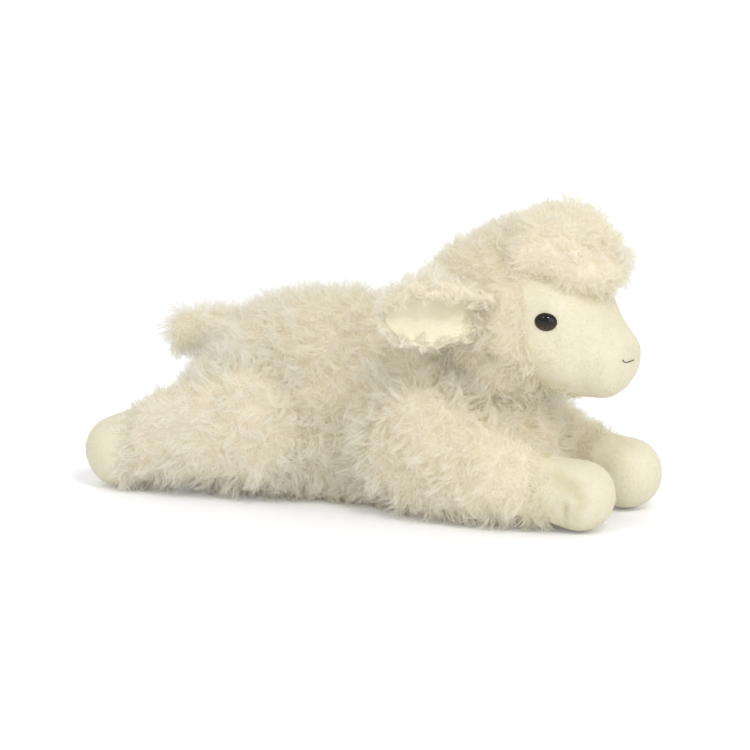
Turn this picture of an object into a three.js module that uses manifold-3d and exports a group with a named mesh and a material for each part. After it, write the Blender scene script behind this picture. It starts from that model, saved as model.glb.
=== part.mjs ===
// A plush lamb that lies on its belly with its legs stretched out, built as the sewn toy is built:
// curly wool panels and short plush panels as open shells round separate stuffings, with the
// eyes and their lock washers, the weight bag and the stitched mouth as pieces of their own.
// Millimetres, +X towards the nose, +Y towards the lamb's left, +Z up, standing on z = 0.
import * as THREE from 'three';
import { mergeVertices } from 'three/addons/utils/BufferGeometryUtils.js';
import Module from 'manifold-3d';

const wasm = await Module();
wasm.setup();

// Driving dimensions
const seat = 0.3; // clearance between pieces that touch
const woolWall = 6; // curly plush: backing and dense pile
const plushWall = 2.5; // short plush: backing and pile
const facets = { form: 12, limb: 8, ball: 14, wheel: 16, small: 10 }; // sides round each kind
const torso = { length: 198, height: 108, halfWidth: 36, bellySeam: 11 };
const neck = { setback: 20, drop: 21, radius: 33, lean: 18, opening: 18 };
const head = { length: 105, height: 83, halfWidth: 35.5, behindNeck: 35.5, underNeck: 19.5 };
const faceSeam = { fromNose: 44.5, lean: 6 }; // lean in degrees, its top further back
const topknot = { length: 63, height: 43, halfWidth: 38, fromNose: 1.5, aboveCrown: 13.5 };
const legSeam = 30; // from the middle of the lamb to the flat on which a leg is sewn
const frontLeg = {
  setback: 50, // from the chest back to the shoulder
  sweep: 54, // the chest stays inside this circle round the shoulder
  footSeam: 18, // from the middle of the foot back to the edge of its short plush
  // shoulder, knee, wrist and foot of the stuffing, where the foot stands on the ground
  reach: [0, 32, 62, 86],
  level: [38, 29, 23.5, 19],
  out: [7, 7, 4, 0], // beyond the leg's seam
  halfHeight: [29, 21, 15.5, 17],
  halfWidth: [13, 14.5, 14, 16.5],
};
const hindLeg = {
  setback: 48, // from the rump forward to the hip
  sweep: 52,
  footSeam: 11,
  reach: [0, 33, 59, 78],
  level: [42, 35, 27.5, 19.5],
  out: [6, 7, 5, 4],
  halfHeight: [28, 21.5, 17, 17.5],
  halfWidth: [12, 13.5, 13.5, 16.5],
};
const tail = {
  setback: 13, // from the rump forward to the root
  drop: 26, // from the top of the back down to the root
  radius: 7.5,
  length: 19,
  droop: 2,
  opening: 5,
  lowest: -10, // degrees
};
const ear = {
  fromNose: 67.8,
  overChin: 46,
  length: 52,
  halfWidth: 19,
  rootHalfWidth: 10,
  thick: 6,
  cup: 5,
  sweepBack: 36, // degrees outward from straight back
  hingeRadius: 4,
  raise: 3, // how far the woolly leaf stands higher than its lining
  lining: { inset: 5, rootInset: 2, thick: 2 },
  bluntTip: 0.06, // share of the width that is left at the tip
  tipPower: 2.4, // how late the leaf narrows to its tip
  tipRound: 1, // how far the middle of the tip stands out
  edgePower: 4, // how near its edge the leaf thins
  thinEdge: 0.3, // share of the thickness that is left at the edge
};
const eye = {
  fromNose: 43.7,
  overChin: 42.5,
  forward: 19, // degrees the eye looks forward of straight sideways
  radius: 6.2,
  dome: 4.4,
  domeRings: 4,
  sunk: 1.1,
  shankRadius: 2,
  shankLength: 13,
  washerRadius: 7,
  washerThick: 1.4,
};
const mouth = { thread: 0.45, halfWidth: 9.5, dip: 2.4, overChin: 20.9 };
const weightBag = { halfLength: 38, halfWidth: 18, height: 18, behindMiddle: 7 };

// Outlines of the rounded forms. Each row gives, as shares of the form's length, height and
// half width: how far along it lies, its top, its bottom and its half width.
const torsoOutline = {
  backTip: 0.42,
  frontTip: 0.37,
  rows: [
    [0.02, 0.61, 0.21, 0.46],
    [0.07, 0.77, 0.06, 0.72],
    [0.16, 0.905, -0.03, 0.89],
    [0.28, 0.98, -0.055, 0.97],
    [0.44, 1, -0.055, 1],
    [0.66, 0.95, -0.055, 0.98],
    [0.82, 0.85, -0.04, 0.91],
    [0.91, 0.74, 0.01, 0.8],
    [0.965, 0.61, 0.1, 0.6],
    [0.99, 0.5, 0.22, 0.36],
  ],
};
const headOutline = {
  backTip: 0.65,
  frontTip: 0.23,
  rows: [
    [0.045, 0.76, 0.56, 0.46],
    [0.155, 0.875, 0.45, 0.745],
    [0.26, 0.95, 0.32, 0.9],
    [0.4, 0.995, 0.175, 0.985],
    [0.575, 0.99, 0.057, 0.99],
    [0.665, 0.93, 0.018, 0.945],
    [0.76, 0.81, 0, 0.835],
    [0.835, 0.63, 0, 0.7],
    [0.9, 0.48, 0.005, 0.61],
    [0.955, 0.38, 0.055, 0.53],
    [0.987, 0.325, 0.13, 0.37],
  ],
};
const topknotOutline = {
  backTip: 0.55,
  frontTip: 0.42,
  rows: [
    [0.03, 0.72, 0.36, 0.4],
    [0.13, 0.89, 0.15, 0.72],
    [0.34, 0.99, 0.02, 0.96],
    [0.6, 0.95, -0.02, 0.9],
    [0.82, 0.79, -0.01, 0.71],
    [0.93, 0.63, 0.07, 0.54],
    [0.985, 0.48, 0.18, 0.3],
  ],
};

const sides = [
  ['left', 1],
  ['right', -1],
];
const degrees = THREE.MathUtils.degToRad;
const vector = (x, y, z) => new THREE.Vector3(x, y, z);
const ahead = vector(1, 0, 0);
const across = vector(0, 1, 0);
const up = vector(0, 0, 1);
const moved = (point, direction, distance) => point.clone().addScaledVector(direction, distance);

// Solids from closed three.js geometry, and back
function solidOf(geometry) {
  const bare = geometry.clone();
  bare.deleteAttribute('normal');
  bare.deleteAttribute('uv');
  const merged = mergeVertices(bare, 1e-4);
  const vertProperties = merged.attributes.position.array;
  const triVerts = new Uint32Array(merged.index.array);
  const made = new wasm.Manifold(new wasm.Mesh({ numProp: 3, vertProperties, triVerts }));
  if (made.volume() > 0) return made;
  const turned = triVerts.map((_, i) => triVerts[i - (i % 3) + [0, 2, 1][i % 3]]);
  return new wasm.Manifold(new wasm.Mesh({ numProp: 3, vertProperties, triVerts: turned }));
}

function geometryOf(solid) {
  const mesh = solid.getMesh();
  const geometry = new THREE.BufferGeometry();
  geometry.setAttribute('position', new THREE.BufferAttribute(mesh.vertProperties, 3));
  geometry.setIndex(new THREE.BufferAttribute(mesh.triVerts, 1));
  const faceted = geometry.toNonIndexed();
  faceted.computeVertexNormals();
  return faceted;
}

// The largest of a solid's separate bodies, without the slivers that a cut leaves
function mainBody(solid) {
  return solid.decompose().reduce((a, b) => (b.volume() > a.volume() ? b : a));
}

const onSide = (point, side) => vector(point.x, side * point.y, point.z);

// Where a ray first meets a solid
function meet(solid, from, direction) {
  const surface = new THREE.Mesh(geometryOf(solid), new THREE.MeshBasicMaterial());
  return new THREE.Raycaster(from, direction).intersectObject(surface)[0].point;
}

// Plain tools to cut with, wider than the whole lamb where they have no size of their own
const wide = 2 * torso.length;

function block(low, high) {
  const size = high.clone().sub(low);
  const middle = low.clone().add(high).multiplyScalar(0.5);
  return solidOf(new THREE.BoxGeometry(...size).translate(...middle));
}

// Everything on the side of a plane that its normal points to
function beyond(point, normal) {
  const box = new THREE.BoxGeometry(wide, wide, wide).translate(0, 0, wide / 2);
  box.applyQuaternion(new THREE.Quaternion().setFromUnitVectors(up, normal));
  return solidOf(box.translate(...point));
}

const above = (height) => beyond(vector(0, 0, height), up);

function ball(centre, radius) {
  const sphere = new THREE.SphereGeometry(radius, facets.ball, facets.ball / 2);
  return solidOf(sphere.translate(...centre));
}

// Room for a faceted ball of this radius to turn in, its facets facing the corners of the ball
function ballRoom(centre, radius) {
  const hole = (radius + seat) / Math.cos(Math.PI / facets.ball) ** 2;
  const sphere = new THREE.SphereGeometry(hole, facets.ball, facets.ball / 2 + 1);
  return solidOf(sphere.rotateY(Math.PI / facets.ball).translate(...centre));
}

function rod(centre, axis, radius, length, around = facets.small) {
  const cylinder = new THREE.CylinderGeometry(radius, radius, length, around);
  cylinder.applyQuaternion(new THREE.Quaternion().setFromUnitVectors(across, axis));
  return solidOf(cylinder.translate(...centre));
}

// A profile of radius and height turned about an axis, its height 0 at the place
function turnedOn(place, axis, profile) {
  const points = profile.map(([radius, height]) => new THREE.Vector2(radius, height));
  const lathe = new THREE.LatheGeometry(points, facets.small);
  lathe.applyQuaternion(new THREE.Quaternion().setFromUnitVectors(across, axis));
  return solidOf(lathe.translate(...place));
}

// The radius at which a faceted hole clears a faceted wheel of this radius
const wheelHole = (radius) => (radius + seat) / Math.cos(Math.PI / facets.wheel);

// A closed surface over rings of points, with a tip before the first and after the last
function skinOver(rings, firstTip, lastTip) {
  const around = rings[0].length;
  const points = [firstTip, ...rings.flat(), lastTip];
  const index = [];
  const at = (ring, k) => 1 + ring * around + (k % around);
  const lastRing = rings.length - 1;
  for (let k = 0; k < around; k++) {
    index.push(0, at(0, k + 1), at(0, k));
    index.push(points.length - 1, at(lastRing, k), at(lastRing, k + 1));
    for (let ring = 0; ring < lastRing; ring++) {
      index.push(at(ring, k), at(ring, k + 1), at(ring + 1, k));
      index.push(at(ring, k + 1), at(ring + 1, k + 1), at(ring + 1, k));
    }
  }
  const geometry = new THREE.BufferGeometry().setFromPoints(points);
  return solidOf(geometry.setIndex(index));
}

// A ring a little fuller than an ellipse towards its corners
const plumpness = 2.25;
const plumpCorner = 2 ** (0.5 - 1 / plumpness); // how far the corners stand out, as a share

function plumpRing(centre, widthwise, heightwise, halfWidth, halfHeight, around) {
  const power = (value) => Math.sign(value) * Math.abs(value) ** (2 / plumpness);
  return Array.from({ length: around }, (_, k) => {
    const turn = (2 * Math.PI * k) / around;
    const point = moved(centre, widthwise, halfWidth * power(Math.cos(turn)));
    return point.addScaledVector(heightwise, halfHeight * power(Math.sin(turn)));
  });
}

// A rounded form with its rings square to X, grown all round
function rounded(form, grow) {
  const middle = form.backX + form.length / 2;
  const along = (share) => middle + (share - 0.5) * (form.length + 2 * grow);
  const level = (share) => form.bottomZ + share * form.height;
  const rings = form.outline.rows.map(([share, top, bottom, half]) => {
    const centre = vector(along(share), 0, level((top + bottom) / 2));
    const halfHeight = ((top - bottom) * form.height) / 2 + grow;
    const halfWidth = half * form.halfWidth + grow;
    return plumpRing(centre, across, up, halfWidth, halfHeight, facets.form);
  });
  const backTip = vector(along(0), 0, level(form.outline.backTip));
  const frontTip = vector(along(1), 0, level(form.outline.frontTip));
  return skinOver(rings, backTip, frontTip);
}

// A limb: a tube that swells and tapers along a smooth spine, with round ends
const limbSteps = 2; // from one centre to the next
const roundEnd = [35, 65].map(degrees);

function limb({ centres, halfHeight, halfWidth }, grow) {
  const spine = new THREE.CatmullRomCurve3(centres);
  const sizes = new THREE.CatmullRomCurve3(
    halfHeight.map((height, i) => vector(halfWidth[i] + grow, height + grow, 0)),
  );
  const ringAt = (share, shift, scale) => {
    const tangent = spine.getTangent(share);
    const widthwise = moved(across, tangent, -tangent.y).normalize();
    const heightwise = tangent.clone().cross(widthwise);
    const size = sizes.getPoint(share);
    const centre = moved(spine.getPoint(share), tangent, shift * size.y);
    return plumpRing(centre, widthwise, heightwise, size.x * scale, size.y * scale, facets.limb);
  };
  const tip = (share, way) =>
    moved(spine.getPoint(share), spine.getTangent(share), way * sizes.getPoint(share).y);
  const steps = (centres.length - 1) * limbSteps;
  const rings = [
    ...roundEnd.toReversed().map((turn) => ringAt(0, -Math.sin(turn), Math.cos(turn))),
    ...Array.from({ length: steps + 1 }, (_, i) => ringAt(i / steps, 0, 1)),
    ...roundEnd.map((turn) => ringAt(1, Math.sin(turn), Math.cos(turn))),
  ];
  return skinOver(rings, tip(0, -1), tip(1, 1));
}

// Places that several pieces share. The torso lies so that the feet reach equally far both ways.
const reachOf = (leg) => leg.reach.at(-1) + leg.halfHeight.at(-1) + plushWall;
const torsoX = (reachOf(hindLeg) - hindLeg.setback - reachOf(frontLeg) + frontLeg.setback) / 2;
const chestX = torsoX + torso.length / 2;
const rumpX = torsoX - torso.length / 2;
const torsoForm = {
  outline: torsoOutline,
  backX: rumpX + woolWall,
  length: torso.length - 2 * woolWall,
  bottomZ: 0,
  height: torso.height - woolWall,
  halfWidth: torso.halfWidth - woolWall,
};
const neckCentre = vector(chestX - neck.setback, 0, torso.height - neck.drop);
const neckRoom = ballRoom(neckCentre, neck.radius);
const headForm = {
  outline: headOutline,
  backX: neckCentre.x - head.behindNeck,
  length: head.length,
  bottomZ: neckCentre.z - head.underNeck,
  height: head.height,
  halfWidth: head.halfWidth,
};
const noseX = headForm.backX + head.length;
const chinZ = headForm.bottomZ;
const capSurface = rounded(headForm, woolWall);
const faceSurface = rounded(headForm, plushWall);

// Legs. forward is 1 for a front leg and -1 for a hind leg.
function legRoot(leg, forward) {
  const x = forward > 0 ? chestX - leg.setback : rumpX + leg.setback;
  return vector(x, 0, leg.level[0]);
}

function legForm(leg, forward, side) {
  const root = legRoot(leg, forward);
  const centres = leg.reach.map((reach, i) =>
    vector(root.x + forward * reach, side * (legSeam + leg.out[i]), leg.level[i]),
  );
  return { centres, halfHeight: leg.halfHeight, halfWidth: leg.halfWidth };
}

// Between the flats that carry the legs, a leg keeps outside a wheel round its root, and the
// lower corners of the torso keep inside it, so that the leg swings clear.
function outsideWheel(leg, forward, grow) {
  const root = legRoot(leg, forward);
  const reachX = root.x + forward * wide;
  const low = vector(Math.min(root.x, reachX), -wide, -wide);
  const high = vector(Math.max(root.x, reachX), wide, root.z);
  return block(low, high).subtract(rod(root, across, leg.sweep + grow, 4 * wide, facets.wheel));
}

function buildLeg(leg, forward, side) {
  const form = legForm(leg, forward, side);
  const [, , wrist, foot] = form.centres;
  const alongLeg = foot.clone().sub(wrist).normalize();
  const seamPoint = moved(foot, alongLeg, -leg.footSeam);
  const beforeSeam = beyond(seamPoint, alongLeg.clone().negate());
  const pastSeam = beyond(moved(seamPoint, alongLeg, seat), alongLeg);
  const root = legRoot(leg, forward);
  const room = (gap) =>
    rod(root, across, wheelHole(leg.sweep) + gap, 2 * (legSeam + seat + gap), facets.wheel);
  const core = limb(form, 0);
  const sleeve = limb(form, woolWall).subtract(core).subtract(room(0)).intersect(beforeSeam);
  const pad = limb(form, plushWall).subtract(core).subtract(room(0)).intersect(pastSeam);
  const stuffing = limb(form, -seat).subtract(room(seat)).intersect(above(plushWall + seat));
  return {
    sleeve: mainBody(sleeve.intersect(above(0))),
    foot: mainBody(pad.intersect(above(0))),
    stuffing: mainBody(stuffing),
  };
}

// The tail, with a round root that turns in the rump
const tailRoot = vector(rumpX + tail.setback, 0, torso.height - tail.drop);
const tailForm = {
  centres: [tailRoot, vector(tailRoot.x - tail.length, 0, tailRoot.z - tail.droop)],
  halfHeight: [tail.radius, tail.radius],
  halfWidth: [tail.radius, tail.radius],
};
const tailRadius = tail.radius + woolWall;

function tailRoom() {
  const grown = limb(tailForm, woolWall + seat);
  const [x, y, z] = tailRoot;
  const lowered = grown
    .translate([-x, -y, -z])
    .rotate([0, tail.lowest, 0])
    .translate([x, y, z]);
  return ballRoom(tailRoot, tailRadius * plumpCorner).add(grown).add(lowered);
}

function buildTail() {
  const rootEnd = moved(tailRoot, ahead, tailRadius);
  const rootHole = rod(rootEnd, ahead, tail.opening, 2 * tailRadius);
  return {
    cover: limb(tailForm, woolWall).subtract(limb(tailForm, 0)).subtract(rootHole),
    stuffing: limb(tailForm, -seat),
  };
}

// The neck, a stuffed ball on which the head nods, and which turns on the torso
function buildNeck() {
  const lean = degrees(neck.lean);
  const axis = vector(Math.sin(lean), 0, Math.cos(lean));
  const throat = rod(neckCentre, axis, neck.opening, 3 * neck.radius);
  const inner = neck.radius - woolWall;
  return {
    sleeve: ball(neckCentre, neck.radius).subtract(ball(neckCentre, inner)).subtract(throat),
    stuffing: ball(neckCentre, inner - seat),
  };
}

// The torso, grown from the surface of its stuffing: flat where it lies and where the legs are sewn
function torsoSolid(grow) {
  const flat = legSeam - woolWall + grow;
  const flats = block(vector(-wide, -flat, woolWall - grow), vector(wide, flat, wide));
  return rounded(torsoForm, grow)
    .intersect(flats)
    .subtract(outsideWheel(frontLeg, 1, grow - woolWall))
    .subtract(outsideWheel(hindLeg, -1, grow - woolWall));
}

function buildWeightBag(grow) {
  const floor = woolWall + seat;
  const pillow = new THREE.SphereGeometry(1, facets.small, facets.small / 2);
  pillow.scale(
    weightBag.halfLength + grow,
    weightBag.halfWidth + grow,
    (weightBag.height * 2) / 3 + grow,
  );
  pillow.translate(torsoX - weightBag.behindMiddle, 0, floor + weightBag.height / 3);
  return solidOf(pillow).intersect(above(floor - grow));
}

function buildTorso() {
  const sockets = neckRoom.add(tailRoom());
  const cover = torsoSolid(woolWall).subtract(torsoSolid(0)).subtract(sockets);
  const upper = cover.intersect(above(torso.bellySeam + seat));
  const half = (side) => upper.intersect(beyond(vector(0, (side * seat) / 2, 0), vector(0, side, 0)));
  return {
    left: mainBody(half(1)),
    right: mainBody(half(-1)),
    belly: mainBody(cover.subtract(above(torso.bellySeam))),
    stuffing: mainBody(torsoSolid(-seat).subtract(sockets).subtract(buildWeightBag(seat))),
    bag: buildWeightBag(0),
  };
}

// The eyes: a dome on a shank, held by a lock washer behind the fabric of the face
const washerDepth = plushWall - eye.sunk + 2 * seat; // behind the rim of the dome

function eyeSeat(side) {
  const turn = degrees(eye.forward);
  const axis = vector(Math.sin(turn), Math.cos(turn), 0);
  const middle = vector(noseX - eye.fromNose, 0, chinZ + eye.overChin);
  const surface = meet(faceSurface, moved(middle, axis, wide), axis.clone().negate());
  return { axis: onSide(axis, side), place: onSide(moved(surface, axis, -eye.sunk), side) };
}

function eyeSolid({ place, axis }, grow) {
  const dome = Array.from({ length: eye.domeRings }, (_, i) => {
    const turn = ((Math.PI / 2) * i) / eye.domeRings;
    return [(eye.radius + grow) * Math.cos(turn), (eye.dome + grow) * Math.sin(turn)];
  });
  const rim = grow > 0 ? [[eye.radius + grow, -grow]] : [];
  return turnedOn(place, axis, [
    [0, -eye.shankLength - grow],
    [eye.shankRadius + grow, -eye.shankLength - grow],
    [eye.shankRadius + grow, -grow],
    ...rim,
    ...dome,
    [0, eye.dome + grow],
  ]);
}

function washerSolid({ place, axis }) {
  const inner = eye.shankRadius + seat;
  const near = -washerDepth;
  const far = near - eye.washerThick;
  const ring = [
    [inner, far],
    [eye.washerRadius, far],
    [eye.washerRadius, near],
    [inner, near],
    [inner, far],
  ];
  return turnedOn(place, axis, ring);
}

// Room for the washer, from some depth behind the dome's rim back into the head
function washerRoom({ place, axis }, depth) {
  const radius = eye.washerRadius + seat;
  const far = -washerDepth - eye.washerThick - seat;
  const profile = [
    [0, far],
    [radius, far],
    [radius, -depth],
    [0, -depth],
  ];
  return turnedOn(place, axis, profile);
}

// The mouth: one dark thread laid across the front of the muzzle
function buildMouth() {
  const stitches = 6;
  const points = Array.from({ length: stitches + 1 }, (_, i) => {
    const share = (2 * i) / stitches - 1;
    const height = chinZ + mouth.overChin - mouth.dip * (1 - share * share);
    const from = vector(noseX + wide, share * mouth.halfWidth, height);
    return moved(meet(faceSurface, from, vector(-1, 0, 0)), ahead, mouth.thread + 2 * seat);
  });
  const section = new THREE.Shape().absarc(0, 0, mouth.thread, 0, 2 * Math.PI);
  const thread = new THREE.ExtrudeGeometry(section, {
    steps: 2 * stitches,
    curveSegments: 3,
    extrudePath: new THREE.CatmullRomCurve3(points),
  });
  return solidOf(thread);
}

// The ears: a cupped leaf of wool with a plush lining in the cup, hinged where it is sewn on
function earFrame(side) {
  const out = degrees(ear.sweepBack);
  const along = vector(-Math.cos(out), side * Math.sin(out), 0);
  const facing = along.clone().cross(up).multiplyScalar(side);
  const from = vector(noseX - ear.fromNose, wide, chinZ + ear.overChin);
  const root = meet(capSurface, from, across.clone().negate());
  return { along, facing, root: onSide(moved(root, across, seat), side) };
}

function earHinge(side, grow) {
  const { root } = earFrame(side);
  const length = 2 * (ear.rootHalfWidth + 2 * grow);
  return rod(root, up, ear.hingeRadius + grow, length);
}

// Half the width of a leaf at a distance from its root
function leafHalfWidth(distance, { length, halfWidth, rootHalfWidth }) {
  const share = Math.min(1, distance / length);
  const swell = Math.sin(Math.min(1, 2 * share) * (Math.PI / 2));
  const pastMiddle = Math.max(0, 2 * share - 1);
  const taper = Math.sqrt(1 + ear.bluntTip - pastMiddle ** ear.tipPower);
  return (rootHalfWidth + (halfWidth - rootHalfWidth) * swell) * taper;
}

// A leaf from start to its full length, whose depth lies between back and front
function leafSolid(side, leaf) {
  const { along, facing, root } = earFrame(side);
  const rows = 7;
  const columns = 6;
  const at = (distance, width, depth) =>
    moved(moved(moved(root, along, distance), up, width + leaf.raise), facing, depth);
  const rings = Array.from({ length: rows }, (_, i) => {
    const distance = leaf.start + ((leaf.length - leaf.start) * i) / (rows - 1);
    const half = leafHalfWidth(distance, leaf);
    const shares = Array.from({ length: columns + 1 }, (_, k) => (2 * k) / columns - 1);
    const face = (share, isFront) => {
      const cupped = ear.cup * ((half * share) / ear.halfWidth) ** 2;
      const thinned = 1 - (1 - ear.thinEdge) * share ** ear.edgePower;
      const thick = isFront ? (leaf.front - leaf.back) * thinned : 0;
      return at(distance, half * share, cupped + leaf.back + thick);
    };
    return [
      ...shares.map((share) => face(share, true)),
      ...shares.toReversed().map((share) => face(share, false)),
    ];
  });
  const middle = (leaf.front + leaf.back) / 2;
  return skinOver(rings, at(leaf.start - seat, 0, middle), at(leaf.length + ear.tipRound, 0, middle));
}

function buildEar(side) {
  const headRoom = rounded(headForm, woolWall + seat);
  const back = leafSolid(side, {
    start: 0,
    length: ear.length,
    halfWidth: ear.halfWidth,
    rootHalfWidth: ear.rootHalfWidth,
    raise: ear.raise,
    back: -ear.thick / 2,
    front: ear.thick / 2,
  });
  const lining = leafSolid(side, {
    start: ear.hingeRadius + 2 * seat,
    length: ear.length - ear.lining.inset,
    halfWidth: ear.halfWidth - ear.lining.inset,
    rootHalfWidth: ear.rootHalfWidth - ear.lining.rootInset,
    raise: 0,
    back: ear.thick / 2 + seat,
    front: ear.thick / 2 + seat + ear.lining.thick,
  });
  const whole = back.subtract(headRoom).add(earHinge(side, 0));
  return { back: mainBody(whole), lining: mainBody(lining.subtract(back).subtract(headRoom)) };
}

// The head: a short plush face, a wool cap behind it, and the topknot over the brow
function buildHead() {
  const lean = degrees(faceSeam.lean);
  const seamPoint = vector(noseX - faceSeam.fromNose, 0, chinZ + head.height / 2);
  const forward = vector(Math.cos(lean), 0, Math.sin(lean));
  const backward = forward.clone().negate();
  const overSeam = moved(seamPoint, forward, seat);
  const hollow = rounded(headForm, 0).add(neckRoom);
  const eyeSeats = sides.map(([, side]) => eyeSeat(side));

  let face = faceSurface.subtract(hollow).intersect(beyond(overSeam, forward));
  let stuffing = rounded(headForm, -seat).subtract(neckRoom);
  for (const seatOfEye of eyeSeats) {
    const eyeRoom = eyeSolid(seatOfEye, seat);
    face = face.subtract(eyeRoom).subtract(washerRoom(seatOfEye, washerDepth - seat));
    stuffing = stuffing.subtract(eyeRoom).subtract(washerRoom(seatOfEye, -eye.dome));
  }
  let cap = capSurface.subtract(hollow).intersect(beyond(seamPoint, backward));
  for (const [, side] of sides) {
    cap = cap.subtract(earHinge(side, seat));
  }
  const overFace = rounded(headForm, plushWall + seat).intersect(beyond(seamPoint, forward));
  const overCap = rounded(headForm, woolWall + seat).intersect(beyond(overSeam, backward));
  const crown = {
    outline: topknotOutline,
    backX: noseX - topknot.fromNose - topknot.length,
    length: topknot.length,
    bottomZ: chinZ + head.height + topknot.aboveCrown - topknot.height,
    height: topknot.height,
    halfWidth: topknot.halfWidth,
  };
  return {
    face: mainBody(face),
    cap: mainBody(cap),
    topknot: mainBody(rounded(crown, 0).subtract(overFace).subtract(overCap)),
    stuffing: mainBody(stuffing),
    mouth: buildMouth(),
    eyes: eyeSeats.map((seatOfEye) => eyeSolid(seatOfEye, 0)),
    washers: eyeSeats.map((seatOfEye) => washerSolid(seatOfEye)),
  };
}

// Materials
const fabric = (color) => new THREE.MeshStandardMaterial({ color, roughness: 0.95, metalness: 0 });
const plastic = (color, roughness) => new THREE.MeshStandardMaterial({ color, roughness, metalness: 0 });
const curlyWool = fabric(0xf1eadb);
const shortPlush = fabric(0xf5efd0);
const fibrefill = fabric(0xfafafa);
const calico = fabric(0xe4dcc8);
const darkThread = fabric(0x39332c);
const eyePlastic = plastic(0x21150f, 0.08);
const washerPlastic = plastic(0xe9e9e6, 0.5);

// The toy
const lamb = new THREE.Group();

function addPiece(name, solid, material) {
  const mesh = new THREE.Mesh(geometryOf(solid), material);
  mesh.name = name;
  lamb.add(mesh);
}

const torsoPieces = buildTorso();
addPiece('body_side_left', torsoPieces.left, curlyWool);
addPiece('body_side_right', torsoPieces.right, curlyWool);
addPiece('belly_panel', torsoPieces.belly, curlyWool);
addPiece('body_stuffing', torsoPieces.stuffing, fibrefill);
addPiece('weight_bag', torsoPieces.bag, calico);

const neckPieces = buildNeck();
addPiece('neck_sleeve', neckPieces.sleeve, curlyWool);
addPiece('neck_stuffing', neckPieces.stuffing, fibrefill);

const headPieces = buildHead();
addPiece('face_cover', headPieces.face, shortPlush);
addPiece('head_cap', headPieces.cap, curlyWool);
addPiece('topknot', headPieces.topknot, curlyWool);
addPiece('head_stuffing', headPieces.stuffing, fibrefill);
addPiece('mouth_stitch', headPieces.mouth, darkThread);

const tailPieces = buildTail();
addPiece('tail_cover', tailPieces.cover, curlyWool);
addPiece('tail_stuffing', tailPieces.stuffing, fibrefill);

sides.forEach(([name, side], i) => {
  addPiece(`eye_${name}`, headPieces.eyes[i], eyePlastic);
  addPiece(`eye_washer_${name}`, headPieces.washers[i], washerPlastic);
  const earPieces = buildEar(side);
  addPiece(`ear_back_${name}`, earPieces.back, curlyWool);
  addPiece(`ear_lining_${name}`, earPieces.lining, shortPlush);
  for (const [kind, leg, forward] of [
    ['front', frontLeg, 1],
    ['hind', hindLeg, -1],
  ]) {
    const legPieces = buildLeg(leg, forward, side);
    addPiece(`${kind}_leg_sleeve_${name}`, legPieces.sleeve, curlyWool);
    addPiece(`${kind}_foot_${name}`, legPieces.foot, shortPlush);
    addPiece(`${kind}_leg_stuffing_${name}`, legPieces.stuffing, fibrefill);
  }
});

export default lamb;
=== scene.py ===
# A plush lamb lying on its belly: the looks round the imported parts.
# This script works in millimetres and makes every mesh in metres.
import math
import bpy
import numpy as np
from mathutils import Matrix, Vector, noise
from mathutils.bvhtree import BVHTree
from mathutils.kdtree import KDTree


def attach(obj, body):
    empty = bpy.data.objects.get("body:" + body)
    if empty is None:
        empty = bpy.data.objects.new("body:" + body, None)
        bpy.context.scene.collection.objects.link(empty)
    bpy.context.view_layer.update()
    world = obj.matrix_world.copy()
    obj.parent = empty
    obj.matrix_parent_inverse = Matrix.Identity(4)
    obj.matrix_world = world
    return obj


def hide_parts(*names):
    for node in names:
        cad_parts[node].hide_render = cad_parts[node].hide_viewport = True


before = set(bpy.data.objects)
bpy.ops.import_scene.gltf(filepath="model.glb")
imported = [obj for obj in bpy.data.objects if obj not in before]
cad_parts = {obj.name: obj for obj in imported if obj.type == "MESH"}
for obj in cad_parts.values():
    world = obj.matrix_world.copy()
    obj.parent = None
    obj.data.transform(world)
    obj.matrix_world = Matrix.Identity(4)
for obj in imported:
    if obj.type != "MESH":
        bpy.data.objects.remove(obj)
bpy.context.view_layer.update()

mm = 0.001
sides = {"left": 1, "right": -1}
print("frame loaded:", len(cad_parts), "parts")


# Small helpers for lists of vectors

def unit(vectors):
    lengths = np.linalg.norm(vectors, axis=-1, keepdims=True)
    return vectors / np.maximum(lengths, 1e-9)


def dot(a, b):
    return (a * b).sum(-1, keepdims=True)


def flattened(vectors, normals):
    return unit(vectors - normals * dot(vectors, normals))


def turned(vectors, axes, angles):
    angles = np.asarray(angles)[..., None]
    across = np.cross(axes, vectors)
    return (vectors * np.cos(angles) + across * np.sin(angles)
            + axes * dot(axes, vectors) * (1 - np.cos(angles)))


def smoothStep(values, low, high):
    share = np.clip((values - low) / (high - low), 0, 1)
    return share * share * (3 - 2 * share)


def lengthsAlong(points):
    return np.r_[0, np.cumsum(np.linalg.norm(np.diff(points, axis=0), axis=1))]


# A smooth line through the values that never overshoots them
def eased(knots, values, at):
    knots, values, at = (np.asarray(v, float) for v in (knots, values, at))
    gaps = np.diff(knots)
    slopes = np.diff(values) / gaps
    tangents = np.zeros(len(values))
    tangents[0], tangents[-1] = slopes[0], slopes[-1]
    before, after = slopes[:-1], slopes[1:]
    agree = before * after > 0
    safeBefore, safeAfter = np.where(agree, before, 1), np.where(agree, after, 1)
    wide = gaps[:-1] + gaps[1:]
    blended = 3 * wide / ((wide + gaps[1:]) / safeBefore + (wide + gaps[:-1]) / safeAfter)
    tangents[1:-1] = np.where(agree, blended, 0)
    place = np.clip(np.searchsorted(knots, at) - 1, 0, len(gaps) - 1)
    s = (at - knots[place]) / gaps[place]
    low, high, gap = values[place], values[place + 1], gaps[place]
    return (low * (1 + 2 * s) * (1 - s) ** 2 + high * s * s * (3 - 2 * s)
            + gap * (tangents[place] * s * (1 - s) ** 2 - tangents[place + 1] * s * s * (1 - s)))


def easedLine(knots, points, at):
    return np.stack([eased(knots, column, at) for column in np.array(points, float).T], 1)


# Stuffed forms. A form is its points and its faces

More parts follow.
